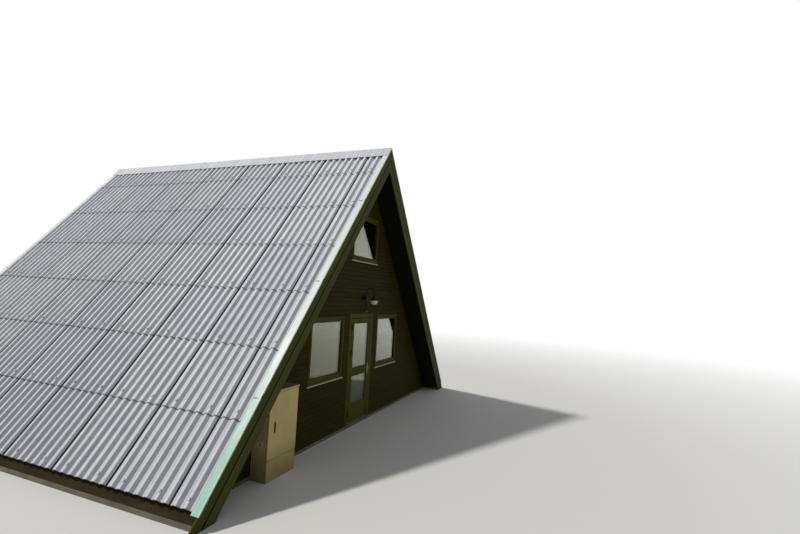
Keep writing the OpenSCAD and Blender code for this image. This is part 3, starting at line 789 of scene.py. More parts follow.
def roof_sheets(side, node):
    """All sheets of one slope, course by course from the ground, with their fixings."""
    shape = Shape()
    columns = sheet_columns()
    for course in range(COURSES):
        lower = EAVE - course * COURSE
        upper = max(lower - SHEET_LENGTH, TOP_COURSE_END)
        for index, (near, far) in enumerate(columns):
            sheet(shape, side, near, far, lower, upper, index == 0, index == len(columns) - 1)
        for index in range(COLUMNS):
            for crest in FIXED_CRESTS:
                y = FIRST_CREST + PITCH * ((index - 1) * WAVES + crest + 1)
                if VERGE_GAP + FIXING_MARGIN < y < LENGTH - VERGE_GAP - FIXING_MARGIN:
                    fixing(shape, side, lower - FIXING_UP, y)
    shape.build(node + "_lapped", [SHEETS, CAP_PLASTIC, WASHER], "fibre_cement", replaces=[node])


def folded(shape, profile, place, stations, finish=0, tone=0.5):
    """A thin folded strip: a closed profile drawn through stations of (place, share of painted shade and
    grime).
    """
    points = []
    grains = []
    shades_and_grime = []
    shift = rng.uniform(0, 40)
    for station, shade_and_grime in stations:
        for across, out in profile:
            points.append(place(station, across, out))
            grains.append((across + shift, station + shift, shift * 0.31))
            shades_and_grime.append(shade_and_grime)
    shape.add(points, prism_faces(len(stations), len(profile)), finish, grains, tone, shades_and_grime)


# Lower ends of the verge cap's lengths, down the slope from the ridge
VERGE_JOINTS = (1.706, 3.706, 5.706)
# Section of the cap, the lap of its lengths and how far it runs past the sheets
CAP_WIDTH = 0.112
CAP_LIP = 0.018
CAP_SKIN = 0.0014
CAP_RIM = 0.014
CAP_STRIP = 0.045
CAP_LAP = 0.05
CAP_OVERRUN = 0.042
# Second station of the top lengths, which have no joint at their upper end
TOP_STATION = 0.05


def verge_caps():
    """Folded caps on both slopes of the front gable, in lapped lengths."""
    shape = Shape()
    lengths = [0.0] + list(VERGE_JOINTS) + [EAVE + CAP_OVERRUN]
    low = CAP_UNDER
    high = CAP_UNDER + CAP_SKIN
    foot = high - CAP_LIP
    fold = [(0.0, high - 0.0012), (0.0012, high), (CAP_RIM, high), (CAP_RIM, low), (CAP_SKIN, low)]
    top = [(CAP_RIM, high), (CAP_STRIP, high), (CAP_STRIP, low), (CAP_RIM, low)]
    inner = [(CAP_STRIP, high), (CAP_WIDTH - 0.001, high), (CAP_WIDTH, high - 0.0006), (CAP_WIDTH, low)]
    inner += [(CAP_STRIP, low)]
    leg = [(0.0, high - 0.0012), (CAP_SKIN, low), (CAP_SKIN, foot + 0.003), (0.0, foot)]
    hem = [(CAP_SKIN, foot + 0.003), (0.006, foot + 0.001), (0.006, foot), (0.0, foot)]
    for side in (-1, 1):
        for upper, lower in zip(lengths, lengths[1:]):
            start = max(upper - CAP_LAP, 0.0)

            def place(down, across, out):
                share = clamp((down - start) / max(lower - start, 0.1))
                lift = (CAP_TOP - CAP_UNDER - CAP_SKIN) * share
                point = on_slope(side, down, out + lift, FRONT + across)
                if side * point.x < 0.0006:
                    point = on_slope(side, -(out + lift) * SIN / COS, out + lift, FRONT + across)
                    point.x = side * 0.0006
                return point

            # Painted shadow and grime on the inner strip just below the lifted end of the length above, and
            # at this length's lower end
            shadow_and_grime = [(upper + 0.001, 0.9), (upper + 0.012, 0.8), (upper + 0.024, 0.0)]
            joint = shadow_and_grime if upper else [(TOP_STATION, 0.0)]
            stations = [(start, 0.0)] + joint + [(lower - 0.008, 0.0), (lower, 0.5)]
            clean = [(start, 0.0), (lower, 0.0)]
            # The tones paint a pale highlight on the fold, the lip and the hem
            for profile, ends, tone in ((fold, clean, 0.6), (top, clean, 0.0), (inner, stations, 0.0),
                                        (leg, clean, 0.6), (hem, clean, 0.3)):
                folded(shape, profile, place, ends, 0, tone)
    return shape


BARGE_Y = FRONT + 0.010
BARGE_THICK = 0.0195
# Where the lengths of the barge boards meet, down the slope
OUTER_BREAK = 3.62
INNER_BREAK = 4.31
# Screws: the first, their step, the free end of a board, and their distance from a break
SCREW_FROM = 0.35
SCREW_STEP = 0.6
SCREW_MARGIN = 0.08
BREAK_SCREW = 0.03


def board_screws(shape, side, limits, middle, foot):
    """Pairs of screws along a barge board, and on both sides of its break."""
    low, high = limits
    profile = [(0.0045, 0.001), (0.0045, -0.0006), (0.0028, -0.001), (0.0006, -0.0004)]
    places = [SCREW_FROM + SCREW_STEP * k for k in range(12)]
    for down in places + [middle - BREAK_SCREW, middle + BREAK_SCREW]:
        if down > foot - SCREW_MARGIN:
            continue
        for share in (0.2, 0.8):
            centre = on_slope(side, down, low + (high - low) * share, BARGE_Y - 0.0002)
            shape.lathe(profile, centre, 8, 1, (0, 1, 0))


def barge_boards(limits, middle):
    """The two boards of one layer on the front gable, each in two lengths that meet at middle."""
    shape = Shape()
    low, high = limits
    inner_layer = limits == INNER_BOARD
    for side in (-1, 1):
        at = axes(on_slope(side, 0, 0, BARGE_Y), *slope_axes(side), (0, 1, 0))
        foot = [(RIDGE_Z + out * COS) / SIN for out in (low, high)]
        top = [-out * SIN / COS + 0.0006 for out in (low, high)]
        upper_part = [(top[0], low), (middle - 0.0006, low), (middle - 0.0006, high), (top[1], high)]
        lower_part = [(middle + 0.0006, low), (foot[0], low), (foot[1], high), (middle + 0.0006, high)]
        gap_edge = high if inner_layer else low
        for outline in (upper_part, lower_part):
            shape.plate(outline, at, BARGE_THICK, 0.003, 0, 0)
            corners = [abs(out - gap_edge) < 0.001 for _, out in outline]
            # The plate's second and third rings of points carry painted shade along the gap between the
            # layers
            for i, at_gap in enumerate(corners * 2):
                shape.shades_and_grime[i - 3 * len(outline)] = 1.0 if at_gap else 0.0
        if inner_layer:
            # A dark strip behind the gap between the layers, put there as painted shade
            strip = [(top[1] + 0.05, high - 0.02), (foot[1] - 0.03, high - 0.02),
                     (foot[1] - 0.03, high + 0.03), (top[1] + 0.05, high + 0.03)]
            shape.plate(strip, at, 0.0018, 0.0004, 2, 0, 0.5, BARGE_THICK + 0.0002)
        board_screws(shape, side, limits, middle, foot[0])
    return shape


# Where the soffit boards start, behind the front of the verge caps
SOFFIT_START = 0.034


def soffit_boards():
    """Boards along the slope on the underside of the front overhang."""
    shape = Shape()
    y0 = FRONT + SOFFIT_START
    y1 = WALL_Y - 0.001
    half_gap = 0.0015
    count = 4
    low, high = SOFFIT
    for side in (-1, 1):
        down, out = slope_axes(side)
        at = axes(on_slope(side, 0, 0, 0), down, (0, 1, 0), out)
        for k in range(count):
            a = y0 + (y1 - y0) * k / count + half_gap
            b = y0 + (y1 - y0) * (k + 1) / count - half_gap
            top = -low * SIN / COS + 0.002
            foot = (RIDGE_Z - FLOOR_Z + low * COS) / SIN - 0.002
            shape.plate([(top, a), (foot, a), (foot, b), (top, b)], at, high - low, 0.003, 0, 0, None, low)
    return shape


def ridge_cap():
    """Ridge pieces end to end, with a collar over each joint and two fixings on each leg."""
    shape = Shape()
    count = 8
    leg = 0.240
    under = 0.0312
    skin = 0.0040
    collar = 0.045

    def piece(y0, y1, low, high, reach):
        points = []
        for y in (y0, y1):
            for side in (-1, 1):
                points += [on_slope(side, reach, high, y), on_slope(side, reach, low, y)]
                points += [Vector((0, y, RIDGE_Z + high / COS)), Vector((0, y, RIDGE_Z + low / COS))]
        order = [0, 1, 3, 5, 4, 2]
        ring = [points[i] for i in order] + [points[i + 8] for i in order]
        faces = [[0, 1, 2, 5], [2, 3, 4, 5], [6, 7, 8, 11], [8, 9, 10, 11]]
        faces += [[i, (i + 1) % 6, (i + 1) % 6 + 6, i + 6] for i in range(6)]
        shift = rng.uniform(0, 30)
        grains = [(p.y + shift, 0.3 + 0.4 * abs(p.x), shift) for p in ring]
        shape.add(ring, faces, 0, grains, rng.random())

    step = LENGTH / count
    for k in range(count):
        piece(FRONT + k * step + 0.001, FRONT + (k + 1) * step - 0.001, under, under + skin, leg)
        if k:
            joint = FRONT + k * step
            piece(joint - collar, joint + collar, under + skin + 0.0001, RIDGE_CAP_TOP, leg - 0.006)
        for side in (-1, 1):
            for share in (0.25, 0.75):
                centre = on_slope(side, leg - 0.05, 0, FRONT + (k + share) * step)
                _, out = slope_axes(side)
                base = under + skin
                profile = [(0.010, base - 0.001), (0.010, base + 0.0012), (0.006, base + 0.0026)]
                shape.lathe(profile + [(0.001, base + 0.0028)], centre, 10, 1, out)
    shape.build("ridge_cap_lapped", [SHEETS, CAP_PLASTIC], "fibre_cement", replaces=["ridge_cap"])


# Gable walls

BOARD = 0.086
# Boards longer than this may be joined, not nearer than this to an end
JOINED_OVER = 3.0
JOINT_MARGIN = 0.5
# Board face in metres: height above the board's foot, depth behind the wall's face
BOARD_FACE = [
    (0.0, 0.009), (0.004, 0.009), (0.0052, 0.004), (0.008, 0.001), (0.012, 0.0),
    (0.076, 0.0), (0.082, 0.001), (0.0855, 0.004), (0.086, 0.009),
]


def face_depth(height):
    """Depth of the board face at a height above the board's foot."""
    for (h0, d0), (h1, d1) in zip(BOARD_FACE, BOARD_FACE[1:]):
        if h0 <= height <= h1:
            return d0 + (d1 - d0) * (height - h0) / max(h1 - h0, 1e-9)
    return BOARD_FACE[-1][1]


def wall_board(shape, left, right, z0, z1, foot, tone, shift):
    """A length of board between two heights; left and right give its ends at a height."""
    heights = [z0] + [foot + h for h, _ in BOARD_FACE if z0 + 1e-5 < foot + h < z1 - 1e-5] + [z1]
    section = [(WALL_Y + face_depth(z - foot), z) for z in heights]
    section += [(WALL_INNER_Y, z1), (WALL_INNER_Y, z0)]
    points = [Vector((left(z), y, z)) for y, z in section]
    points += [Vector((right(z), y, z)) for y, z in section]
    grains = [(p.z + shift, p.x + shift * 1.7, p.y + shift * 0.6) for p in points]
    # Points in the grooves between boards carry painted shade
    shades_and_grime = [0.7 if WALL_Y + 0.003 < p.y < WALL_Y + 0.02 else 0.0 for p in points]
    shape.add(points, prism_faces(2, len(section)), 0, grains, tone, shades_and_grime)


def gable_boards(openings):
    """The boarded wall of the front gable, full thickness, with its openings left free."""
    shape = Shape()
    apex = RIDGE_Z + ROOM_EDGE / COS
    foot = FLOOR_Z
    while foot < apex - 0.02:
        top = min(foot + BOARD, apex - 0.004)
        cuts = sorted({foot, top} | {z for o in openings for z in o[2:] if foot < z < top})
        break_at = rng.uniform(-2.0, 2.0)
        shift = rng.uniform(0, 40)
        tone = rng.random()
        for z0, z1 in zip(cuts, cuts[1:]):
            middle = (z0 + z1) / 2
            holes = sorted((o[0], o[1]) for o in openings if o[2] < middle < o[3])
            edges = [None]
            for a, b in holes:
                edges += [a, b]
            edges.append(None)
            for a, b in zip(edges[0::2], edges[1::2]):
                left = (lambda z: -at_height(ROOM_EDGE, z)) if a is None else (lambda z, a=a: a)
                right = (lambda z: at_height(ROOM_EDGE, z)) if b is None else (lambda z, b=b: b)
                span = (left(middle), right(middle))
                long = span[1] - span[0] > JOINED_OVER
                if long and span[0] + JOINT_MARGIN < break_at < span[1] - JOINT_MARGIN:
                    wall_board(shape, left, lambda z, c=break_at: c - 0.0006, z0, z1, foot, tone, shift)
                    wall_board(shape, lambda z, c=break_at: c + 0.0006, right, z0, z1, foot,
                               (tone + 0.37) % 1, shift + 9)
                else:
                    wall_board(shape, left, right, z0, z1, foot, tone, shift)
        foot += BOARD
    return shape


# Windows and sills

FRAME_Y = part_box("front_left_window")[0].y
GLASS_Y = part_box("front_glass")[0].y
WINDOW_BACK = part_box("front_left_window")[1].y
# How far the windows' glass, and the CAD's door glass, reach under the members round them
GLASS_OVERLAP = 0.010
# Visible widths of the frames: heads and feet, and the narrower uprights
MEMBER = 0.097
OUTER_MEMBER = 0.050
SIDE_MEMBER = 0.062
OUTER_SIDE = 0.048
# Gap round the sash and from it to the glass, its setback, the bead round the glass, and the seal
SASH_GAP = 0.0015
SASH_BACK = 0.011
BEAD_WIDTH = 0.008
SEAL_WIDTH = 0.006
# Height of the sills, their reach in front of the wall and past each side of the window
SILL_HEIGHT = 0.028
SILL_REACH = 0.020
SILL_EAR = 0.030


def window(low, high):
    """Outer frame, set-back sash, bead round the glass and rubber seal of a fixed window."""
    shape = Shape()
    x0, x1, z0, z1 = low.x, high.x, low.z, high.z
    shape.frame_of(x0, x1, z0, z1, OUTER_MEMBER, FRAME_Y, WINDOW_BACK - FRAME_Y, 0.003, 0, OUTER_SIDE)
    a, b = OUTER_MEMBER + SASH_GAP, OUTER_SIDE + SASH_GAP
    shape.frame_of(x0 + b, x1 - b, z0 + a, z1 - a, MEMBER - a, FRAME_Y + SASH_BACK,
                   GLASS_Y - FRAME_Y - SASH_BACK - SASH_GAP, 0.003, 0, SIDE_MEMBER - b)
    a, b = (member - GLASS_OVERLAP - BEAD_WIDTH for member in (MEMBER, SIDE_MEMBER))
    shape.frame_of(x0 + b, x1 - b, z0 + a, z1 - a, BEAD_WIDTH, GLASS_Y - SASH_GAP,
                   WINDOW_BACK - GLASS_Y, 0.001)
    a, b = MEMBER - SEAL_WIDTH / 2, SIDE_MEMBER - SEAL_WIDTH / 2
    shape.frame_of(x0 + b, x1 - b, z0 + a, z1 - a, SEAL_WIDTH, GLASS_Y - 0.0045, 0.004, 0.0008, 1)
    return shape


def glazing(shape, low, high):
    """Two panes with a spacer between them."""
    thick = high.y - low.y
    pane, spacer = 0.004, 0.010
    for start in (low.y + 0.0004, high.y - pane - 0.0004):
        outline = rectangle(low.x, high.x, low.z, high.z)
        shape.plate(outline, FACING_FRONT, pane, 0.0006, 0, 0, 0.5, start)
    shape.frame_of(low.x + 0.002, high.x - 0.002, low.z + 0.002, high.z - 0.002, spacer,
                   low.y + pane + 0.0006, thick - 2 * pane - 0.0012, 0.0006, 1)


def sill(shape, low, high):
    """A bent metal sill with end caps."""
    x0, x1 = low.x + 0.0004, high.x - 0.0004
    front, top, bottom = low.y, high.z, low.z + 0.004
    back = FRAME_Y
    fall = 0.004
    section = [
        (back, top - 0.0004), (front + 0.003, top - fall), (front, top - fall - 0.003),
        (front, bottom), (front + 0.008, bottom + 0.002), (front + 0.008, bottom + 0.0038),
        (front + 0.002, bottom + 0.003), (front + 0.002, top - fall - 0.004), (back, top - 0.0024),
    ]
    outlines = [[0, 1, 7, 8], [1, 2, 7], [2, 3, 6, 7], [3, 4, 5, 6]]
    for outline in outlines:
        finish = 2 if 8 in outline else 0
        folded(shape, [section[i] for i in outline], lambda x, y, z: Vector((x, y, z)),
               [(x0 + 0.003, 0.0), (x1 - 0.003, 0.0)], finish)
    for x in (x0, x1 - 0.004):
        shape.block((x, front + 0.0002, bottom), (x + 0.004, WALL_Y - 0.0004, top), 0.001, 0, 2)


def window_set():
    """Openings of the front gable: both ground floor windows and the attic window."""
    return [(name, *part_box("front_" + name)) for name in ("left_window", "right_window", "attic_window")]


# Door

LEAF_LOW, LEAF_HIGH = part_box("door_leaf")
DOOR_Y = LEAF_LOW.y
DOOR_GAP = 0.008
DOOR_STOP = 0.022
STOP_Y = LEAF_HIGH.y + 0.0085
# Lower and upper height of the rail between the panes
MID_RAIL = (0.998, 1.138)
# The door's glass in the CAD, and the openings of the leaf: half their width, and their heights
PANE_LOW, PANE_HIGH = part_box("door_glass")
PANE_HALF = PANE_HIGH.x - GLASS_OVERLAP
DOOR_PANES = [(PANE_LOW.z + GLASS_OVERLAP, MID_RAIL[0]), (MID_RAIL[1], PANE_HIGH.z - GLASS_OVERLAP)]
# Hinges: from the leaf's ends to their middles, between the upper two, and their height
HINGE_INSET = 0.160
HINGE_STEP = 0.510
HINGE_TALL = 0.130
# Lever: over the plate's middle, from the leaf's edge, out from its face, its length and bend
LEVER_UP = 0.030
LEVER_INSET = 0.050
LEVER_REACH = 0.042
LEVER_LENGTH = 0.1095
LEVER_BEND = 0.014


def door_frame():
    """Posts and head, each with a stop behind the leaf."""
    shape = Shape()
    low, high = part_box("door_frame")
    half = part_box("door_threshold")[1].x
    head = LEAF_HIGH.z + DOOR_GAP
    for side in (-1, 1):
        outer = side * high.x
        inner = side * half
        x0, x1 = min(outer, inner), max(outer, inner)
        shape.block((x0, low.y, low.z), (x1, high.y, head - 0.0006), 0.004, 0, 1)
        stop = side * (half - DOOR_STOP)
        s0, s1 = min(inner, stop), max(inner, stop)
        shape.block((s0, STOP_Y, low.z), (s1, high.y, head), 0.002, 0, 1)
    shape.block((low.x, low.y, head), (high.x, high.y, high.z), 0.004, 0, 0)
    shape.block((-half, STOP_Y, head - DOOR_STOP), (half, high.y, head - 0.0003), 0.002, 0, 0)
    shape.build("door_frame_joinery", [FRAME], "green_frame", replaces=["door_frame"])


def threshold():
    """A metal bar; the three dark strips in it end just under its top, where they don't show."""
    shape = Shape()
    low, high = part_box("door_threshold")
    shape.block(tuple(low), tuple(high), 0.004, 0, 0)
    for k in range(3):
        y = low.y + 0.014 + 0.014 * k
        shape.block((low.x + 0.01, y, high.z - 0.004),
                    (high.x - 0.01, y + 0.006, high.z - 0.0001), 0.001, 1, 0)
    shape.build("door_threshold_bar", [THRESHOLD_METAL, IRON], "sill_metal", replaces=["door_threshold"])


def door_leaf():
    """Stiles and rails with glazing beads and seals round both panes."""
    shape = Shape()
    low, high = LEAF_LOW, LEAF_HIGH
    half = PANE_HALF
    bead, seal, seal_at = 0.012, 0.005, 0.010
    for x0, x1 in ((low.x, -half), (half, high.x)):
        shape.block((x0, low.y, low.z), (x1, high.y, high.z), 0.004, 0, 1)
    for z0, z1 in ((low.z, DOOR_PANES[0][0]), MID_RAIL, (DOOR_PANES[1][1], high.z)):
        shape.block((-half + 0.0004, low.y + 0.0004, z0),
                    (half - 0.0004, high.y - 0.0004, z1), 0.003, 0, 0)
    for z0, z1 in DOOR_PANES:
        x0, x1, z0, z1 = -half + 0.0002, half - 0.0002, z0 + 0.0002, z1 - 0.0002
        shape.frame_of(x0, x1, z0, z1, bead, low.y + 0.004, PANE_LOW.y - low.y - 0.0052)
        shape.frame_of(x0, x1, z0, z1, bead, PANE_HIGH.y + 0.0012, high.y - PANE_HIGH.y - 0.005)
        shape.frame_of(x0 + seal_at, x1 - seal_at, z0 + seal_at, z1 - seal_at, seal,
                       PANE_LOW.y - 0.0014, 0.0013, 0.0003, 1)
    shape.build("door_leaf_joinery", [FRAME, SEAL], "green_frame", "door", ["door_leaf"])


def door_glass():
    shape = Shape()
    gap = 0.0006
    for z0, z1 in DOOR_PANES:
        glazing(shape, Vector((gap - PANE_HALF, PANE_LOW.y, z0 + gap)),
                Vector((PANE_HALF - gap, PANE_HIGH.y, z1 - gap)))
    shape.build("door_panes", [PANE, SEAL], "pane", "door", ["door_glass"])


def door_hinges():
    """Barrels in knuckles with round caps, and plates with screws."""
    shape = Shape()
    low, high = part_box("door_hinges")
    radius = 0.008
    axis_x = low.x + radius
    axis_y = low.y + radius
    top = LEAF_HIGH.z - HINGE_INSET
    heights = (LEAF_LOW.z + HINGE_INSET, top - HINGE_STEP, top)
    tall = HINGE_TALL
    knuckle = (tall - 0.008) / 3
    for z in heights:
        bottom = z - tall / 2
        for k in range(3):
            a = 0.003 + k * (knuckle + 0.001)
            b = a + knuckle
            profile = [(radius - 0.001, a), (radius, a + 0.001), (radius, b - 0.001), (radius - 0.001, b)]
            shape.lathe(profile, (axis_x, axis_y, bottom), 20)
        pin = [(0.72, 0.001), (0.72, tall - 0.001)]
        foot = [(0.3, 0.0), (0.85, 0.002), (0.85, 0.003)]
        cap = [(0.85, tall - 0.003), (0.85, tall - 0.002), (0.3, tall)]
        for profile in (pin, foot, cap):
            shape.lathe([(radius * share, up) for share, up in profile], (axis_x, axis_y, bottom), 16)
        plate_low = (axis_x + radius * 0.55, DOOR_Y - 0.005, bottom + 0.004)
        shape.block(plate_low, (high.x, DOOR_Y - 0.0003, bottom + tall - 0.004), 0.0015, 0, 1)
        for k in range(3):
            centre = (high.x - 0.012, DOOR_Y - 0.0052, bottom + tall * (0.21 + 0.29 * k))
            shape.lathe([(0.004, 0.001), (0.004, -0.0003), (0.0015, -0.0006)], centre, 10, 1, (0, 1, 0))
    shape.build("door_hinge_barrels", [IRON, SCREW], "dark_iron", "door", ["door_hinges"])


def door_handle():
    """Plates, necks and bent levers on both faces, with a lock cylinder."""
    shape = Shape()
    low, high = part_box("door_handle")
    half = (high.z - low.z) / 2
    plate_z = low.z + half
    z = plate_z + LEVER_UP
    x = LEAF_HIGH.x - LEVER_INSET
    radius = 0.0088
    for side, face in ((-1, DOOR_Y), (1, LEAF_HIGH.y)):
        y0 = face - 0.006 if side < 0 else face
        plate = rectangle(x - 0.017, x + 0.017, plate_z - half, plate_z + half, 0.008)
        shape.plate(plate, FACING_FRONT, 0.0058, 0.0018, 0, 1, 0.5, y0)
        reach = face + side * LEVER_REACH
        turn = LEVER_BEND
        path = [(x, face + side * 0.004, z), (x, reach - side * turn, z)]
        for k in range(1, 7):
            angle = math.pi / 2 * k / 6
            path.append((x - turn * (1 - math.cos(angle)), reach - side * turn * (1 - math.sin(angle)), z))
        path += [(x - 0.08, reach, z), (x - LEVER_LENGTH, reach, z)]
        shape.tube(path, radius, 14)
        shape.lathe([(0.013, 0.0), (0.013, 0.006), (0.0115, 0.009)], (x, face + side * 0.006, z), 20,
                    0, (0, side, 0))
        centre = (x, face + side * 0.0055, plate_z - 0.055)
        shape.lathe([(0.0085, 0.0), (0.0085, 0.004), (0.007, 0.005)], centre, 18, 0, (0, side, 0))
        slot_at = (x - 0.0008, face + side * 0.0105 - 0.0003, plate_z - 0.059)
        shape.block(slot_at, (x + 0.0008, face + side * 0.0105 + 0.0003, plate_z - 0.051), 0.0001, 1, 1)
    shape.build("door_lever_set", [LEVER_METAL, IRON], "handle_metal", "door", ["door_handle"])


# Lamp

# Heights of the foot, rim, mount and neck, the neck's radius, and depths of the bar and the shade
LAMP_FOOT_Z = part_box("lamp_bracket")[0].z
LAMP_RIM_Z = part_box("lamp_shade")[0].z
MOUNT_Z = LAMP_RIM_Z + 0.050
NECK_Z = LAMP_RIM_Z + 0.165
NECK = 0.090
BAR_Y = WALL_Y - 0.068
DROP_Y = BAR_Y - 2 * NECK


def lamp_bracket():
    """A block on the wall, a clamp on it, and a bar that bends over in a swan neck."""
    shape = Shape()
    for half, tall, front, back in ((0.062, 0.055, WALL_Y - 0.016, WALL_Y - 0.0003),
                                    (0.030, 0.042, BAR_Y + 0.004, WALL_Y - 0.015)):
        shape.block((-half, front, MOUNT_Z - tall), (half, back, MOUNT_Z + tall), 0.005, 0, 1)
    clamps = (MOUNT_Z - 0.028, MOUNT_Z + 0.028)
    for z in clamps:
        shape.lathe([(0.005, 0.001), (0.005, -0.001), (0.002, -0.0015)], (0.020, BAR_Y + 0.004, z), 10,
                    1, (0, 1, 0))
    start = LAMP_FOOT_Z + 0.010
    path = [(0, BAR_Y, start + (NECK_Z - start) * k / 6) for k in range(7)]
    for k in range(1, 21):
        angle = math.pi * k / 20
        path.append((0, BAR_Y - NECK + NECK * math.cos(angle), NECK_Z + NECK * math.sin(angle)))
    path += [(0, DROP_Y, LAMP_RIM_Z + 0.13), (0, DROP_Y, LAMP_RIM_Z + 0.10)]
    shape.tube(path, 0.0078, 14)
    for z in clamps:
        shape.lathe([(0.0115, -0.006), (0.0115, 0.006)], (0, BAR_Y, z), 18)
    foot = [(0.006, 0.0), (0.011, 0.004), (0.016, 0.012), (0.016, 0.066), (0.012, 0.074), (0.0078, 0.078)]
    shape.lathe(foot, (0, BAR_Y, LAMP_FOOT_Z), 18)
    shape.build("lamp_swan_neck", [IRON, SCREW], "dark_iron", replaces=["lamp_bracket"])


def lamp_knob():
    shape = Shape()
    shape.lathe([(0.004, 0.006), (0.004, 0.016), (0.009, 0.019), (0.0115, 0.026), (0.009, 0.033),
                 (0.002, 0.0355)], (0, BAR_Y, LAMP_FOOT_Z + 0.014), 16, 0, (0, -1, 0))
    shape.build("lamp_bar_knob", [KNOB], "opal_glass")


def lamp_shade():
    shape = Shape()
    profile = [
        (0.090, 0.0), (0.102, 0.0), (0.102, 0.003), (0.099, 0.007), (0.062, 0.008), (0.056, 0.010),
        (0.056, 0.020), (0.052, 0.026), (0.040, 0.048), (0.028, 0.072), (0.016, 0.092), (0.012, 0.100),
        (0.009, 0.100),
    ]
    shape.lathe(profile, (0, DROP_Y, LAMP_RIM_Z), 40)
    shape.build("lamp_shade_spun", [IRON], "dark_iron", replaces=["lamp_shade"])


def lamp_bowl():
    """A thin round bowl, open at the shade."""
    shape = Shape()
    ball, deep, wall = 0.082, 0.078, 0.004
    outer = []
    for k in range(13):
        angle = math.asin(deep / ball) * (1 - k / 12)
        outer.append((ball * math.cos(angle), -ball * math.sin(angle)))
    inner = [(r - wall, z + (wall if i == 0 else 0.0)) for i, (r, z) in enumerate(outer)]
    profile = [(0.001, -deep)] + outer + inner[::-1] + [(0.001, wall - deep)]
    shape.lathe(profile, (0, DROP_Y, LAMP_RIM_Z - 0.0005), 40, closed=True)
    shape.build("lamp_bowl_blown", [OPAL], "opal_glass", replaces=["lamp_bowl"])


# Meter cabinet

CABINET_RIBS = 8
RIB_GROOVE = 0.009
RIB_RELIEF = 0.005
CABINET_WALL = 0.020
BODY_LOW, BODY_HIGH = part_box("cabinet_body")
# Depth and height of the lock on each side, and the door panel's gap and thickness
LOCK_AT = (BODY_LOW.y + 0.100, BODY_LOW.z + 0.215)
PANEL_GAP = 0.006
PANEL_THICK = 0.025


def ribbed_side(shape, side, low, high):
    """A cabinet's side wall: a core coloured darker as painted shade between the ribs, with upright ribs
    standing on it.
    """
    outer = low.x if side < 0 else high.x
    inner = outer - side * CABINET_WALL
    core = outer - side * RIB_RELIEF
    shape.block((min(core, inner), low.y, low.z), (max(core, inner), high.y, high.z), 0.001, 1, 1, 0.5)
    step = (high.y - low.y) / CABINET_RIBS
    for k in range(CABINET_RIBS):
        y = low.y + k * step
        shape.block((min(core, outer), y + RIB_GROOVE / 2, low.z + 0.002),
                    (max(core, outer), y + step - RIB_GROOVE / 2, high.z - 0.002), 0.0018, 0, 1, 0.5)


def lock_ring(shape, side, x, y, z):
    """A raised round lock with a ring round it, on the cabinet's side."""
    ring = [(0.045, -0.004), (0.045, 0.004), (0.043, 0.006), (0.039, 0.006), (0.037, 0.004)]
    ring += [(0.037, -0.004)]
    shape.lathe(ring, (x, y, z), 36, 2, (side, 0, 0), True)
    shape.lathe([(0.013, -0.004), (0.013, 0.003), (0.002, 0.0035)], (x, y, z), 20, 0, (side, 0, 0))


def cabinet_base():
    shape = Shape()
    wall = CABINET_WALL
    low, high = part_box("cabinet_base")
    shape.block((low.x + wall, low.y, low.z), (high.x - wall, high.y, high.z), 0.004, 0, 0, 0.5)
    for side in (-1, 1):
        ribbed_side(shape, side, low, high)
        x = low.x if side < 0 else high.x
        post = (min(x, x - side * wall), low.y - 0.0005, low.z)
        shape.block(post, (post[0] + wall, low.y + 0.012, high.z), 0.003, 0, 1, 0.5)
    shape.build("cabinet_plinth", [CABINET, CABINET_GROOVE_SHADE], "cabinet_shell", replaces=["cabinet_base"])


def cabinet_body():
    """Back wall, floor and top, and two ribbed sides with locks."""
    shape = Shape()
    wall = CABINET_WALL
    low, high = BODY_LOW, BODY_HIGH
    x0, x1 = low.x + wall, high.x - wall
    shape.block((x0, high.y - wall, low.z + wall), (x1, high.y, high.z - wall), 0.001)
    for z0, z1 in ((low.z, low.z + wall), (high.z - wall, high.z)):
        shape.block((x0, low.y, z0), (x1, high.y, z1))
    for side in (-1, 1):
        ribbed_side(shape, side, low, high)
        lock_ring(shape, side, low.x if side < 0 else high.x, *LOCK_AT)
    shape.build("cabinet_housing", [CABINET, CABINET_GROOVE_SHADE, CABINET_RING], "cabinet_shell",
                replaces=["cabinet_body"])


def cabinet_lid():
    shape = Shape()
    low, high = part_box("cabinet_lid")
    shape.block(tuple(low), (high.x, high.y, high.z - 0.0016), 0.006, 0, 0, 0.5)
    shape.block((low.x + 0.004, low.y + 0.004, high.z - 0.003), (high.x - 0.004, high.y, high.z),
                0.002, 1, 0, 0.5)
    shape.build("cabinet_lid_moulded", [CABINET, LID_DIRT], "cabinet_shell", replaces=["cabinet_lid"])


def cabinet_door():
    """The door panel with a hinge pin above and below it."""
    shape = Shape()
    low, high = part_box("cabinet_door")
    z0, z1 = BODY_LOW.z + PANEL_GAP, BODY_HIGH.z - PANEL_GAP
    shape.block((low.x, low.y, z0), (high.x, low.y + PANEL_THICK, z1), 0.005, 0, 0, 0.5)
    for a, b in ((low.z, z0 + 0.002), (z1 - 0.002, high.z)):
        shape.lathe([(0.005, a), (0.005, b)], (high.x - 0.008, low.y + 0.008, 0), 16, 1)
    shape.build("cabinet_door_panel", [CABINET, IRON], "cabinet_shell", "cabinet_door", ["cabinet_door"])


def cabinet_handle():
    shape = Shape()
    a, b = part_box("cabinet_handle")
    shape.block((a.x, b.y - 0.004, a.z), (b.x, b.y - 0.0002, b.z), 0.0018, 0, 1)
    shape.block((a.x + 0.004, a.y, a.z + 0.020), (b.x - 0.004, b.y - 0.003, b.z - 0.020), 0.004, 0, 1)
    shape.build("cabinet_grip_bar", [IRON], "cabinet_grip", "cabinet_door", ["cabinet_handle"])


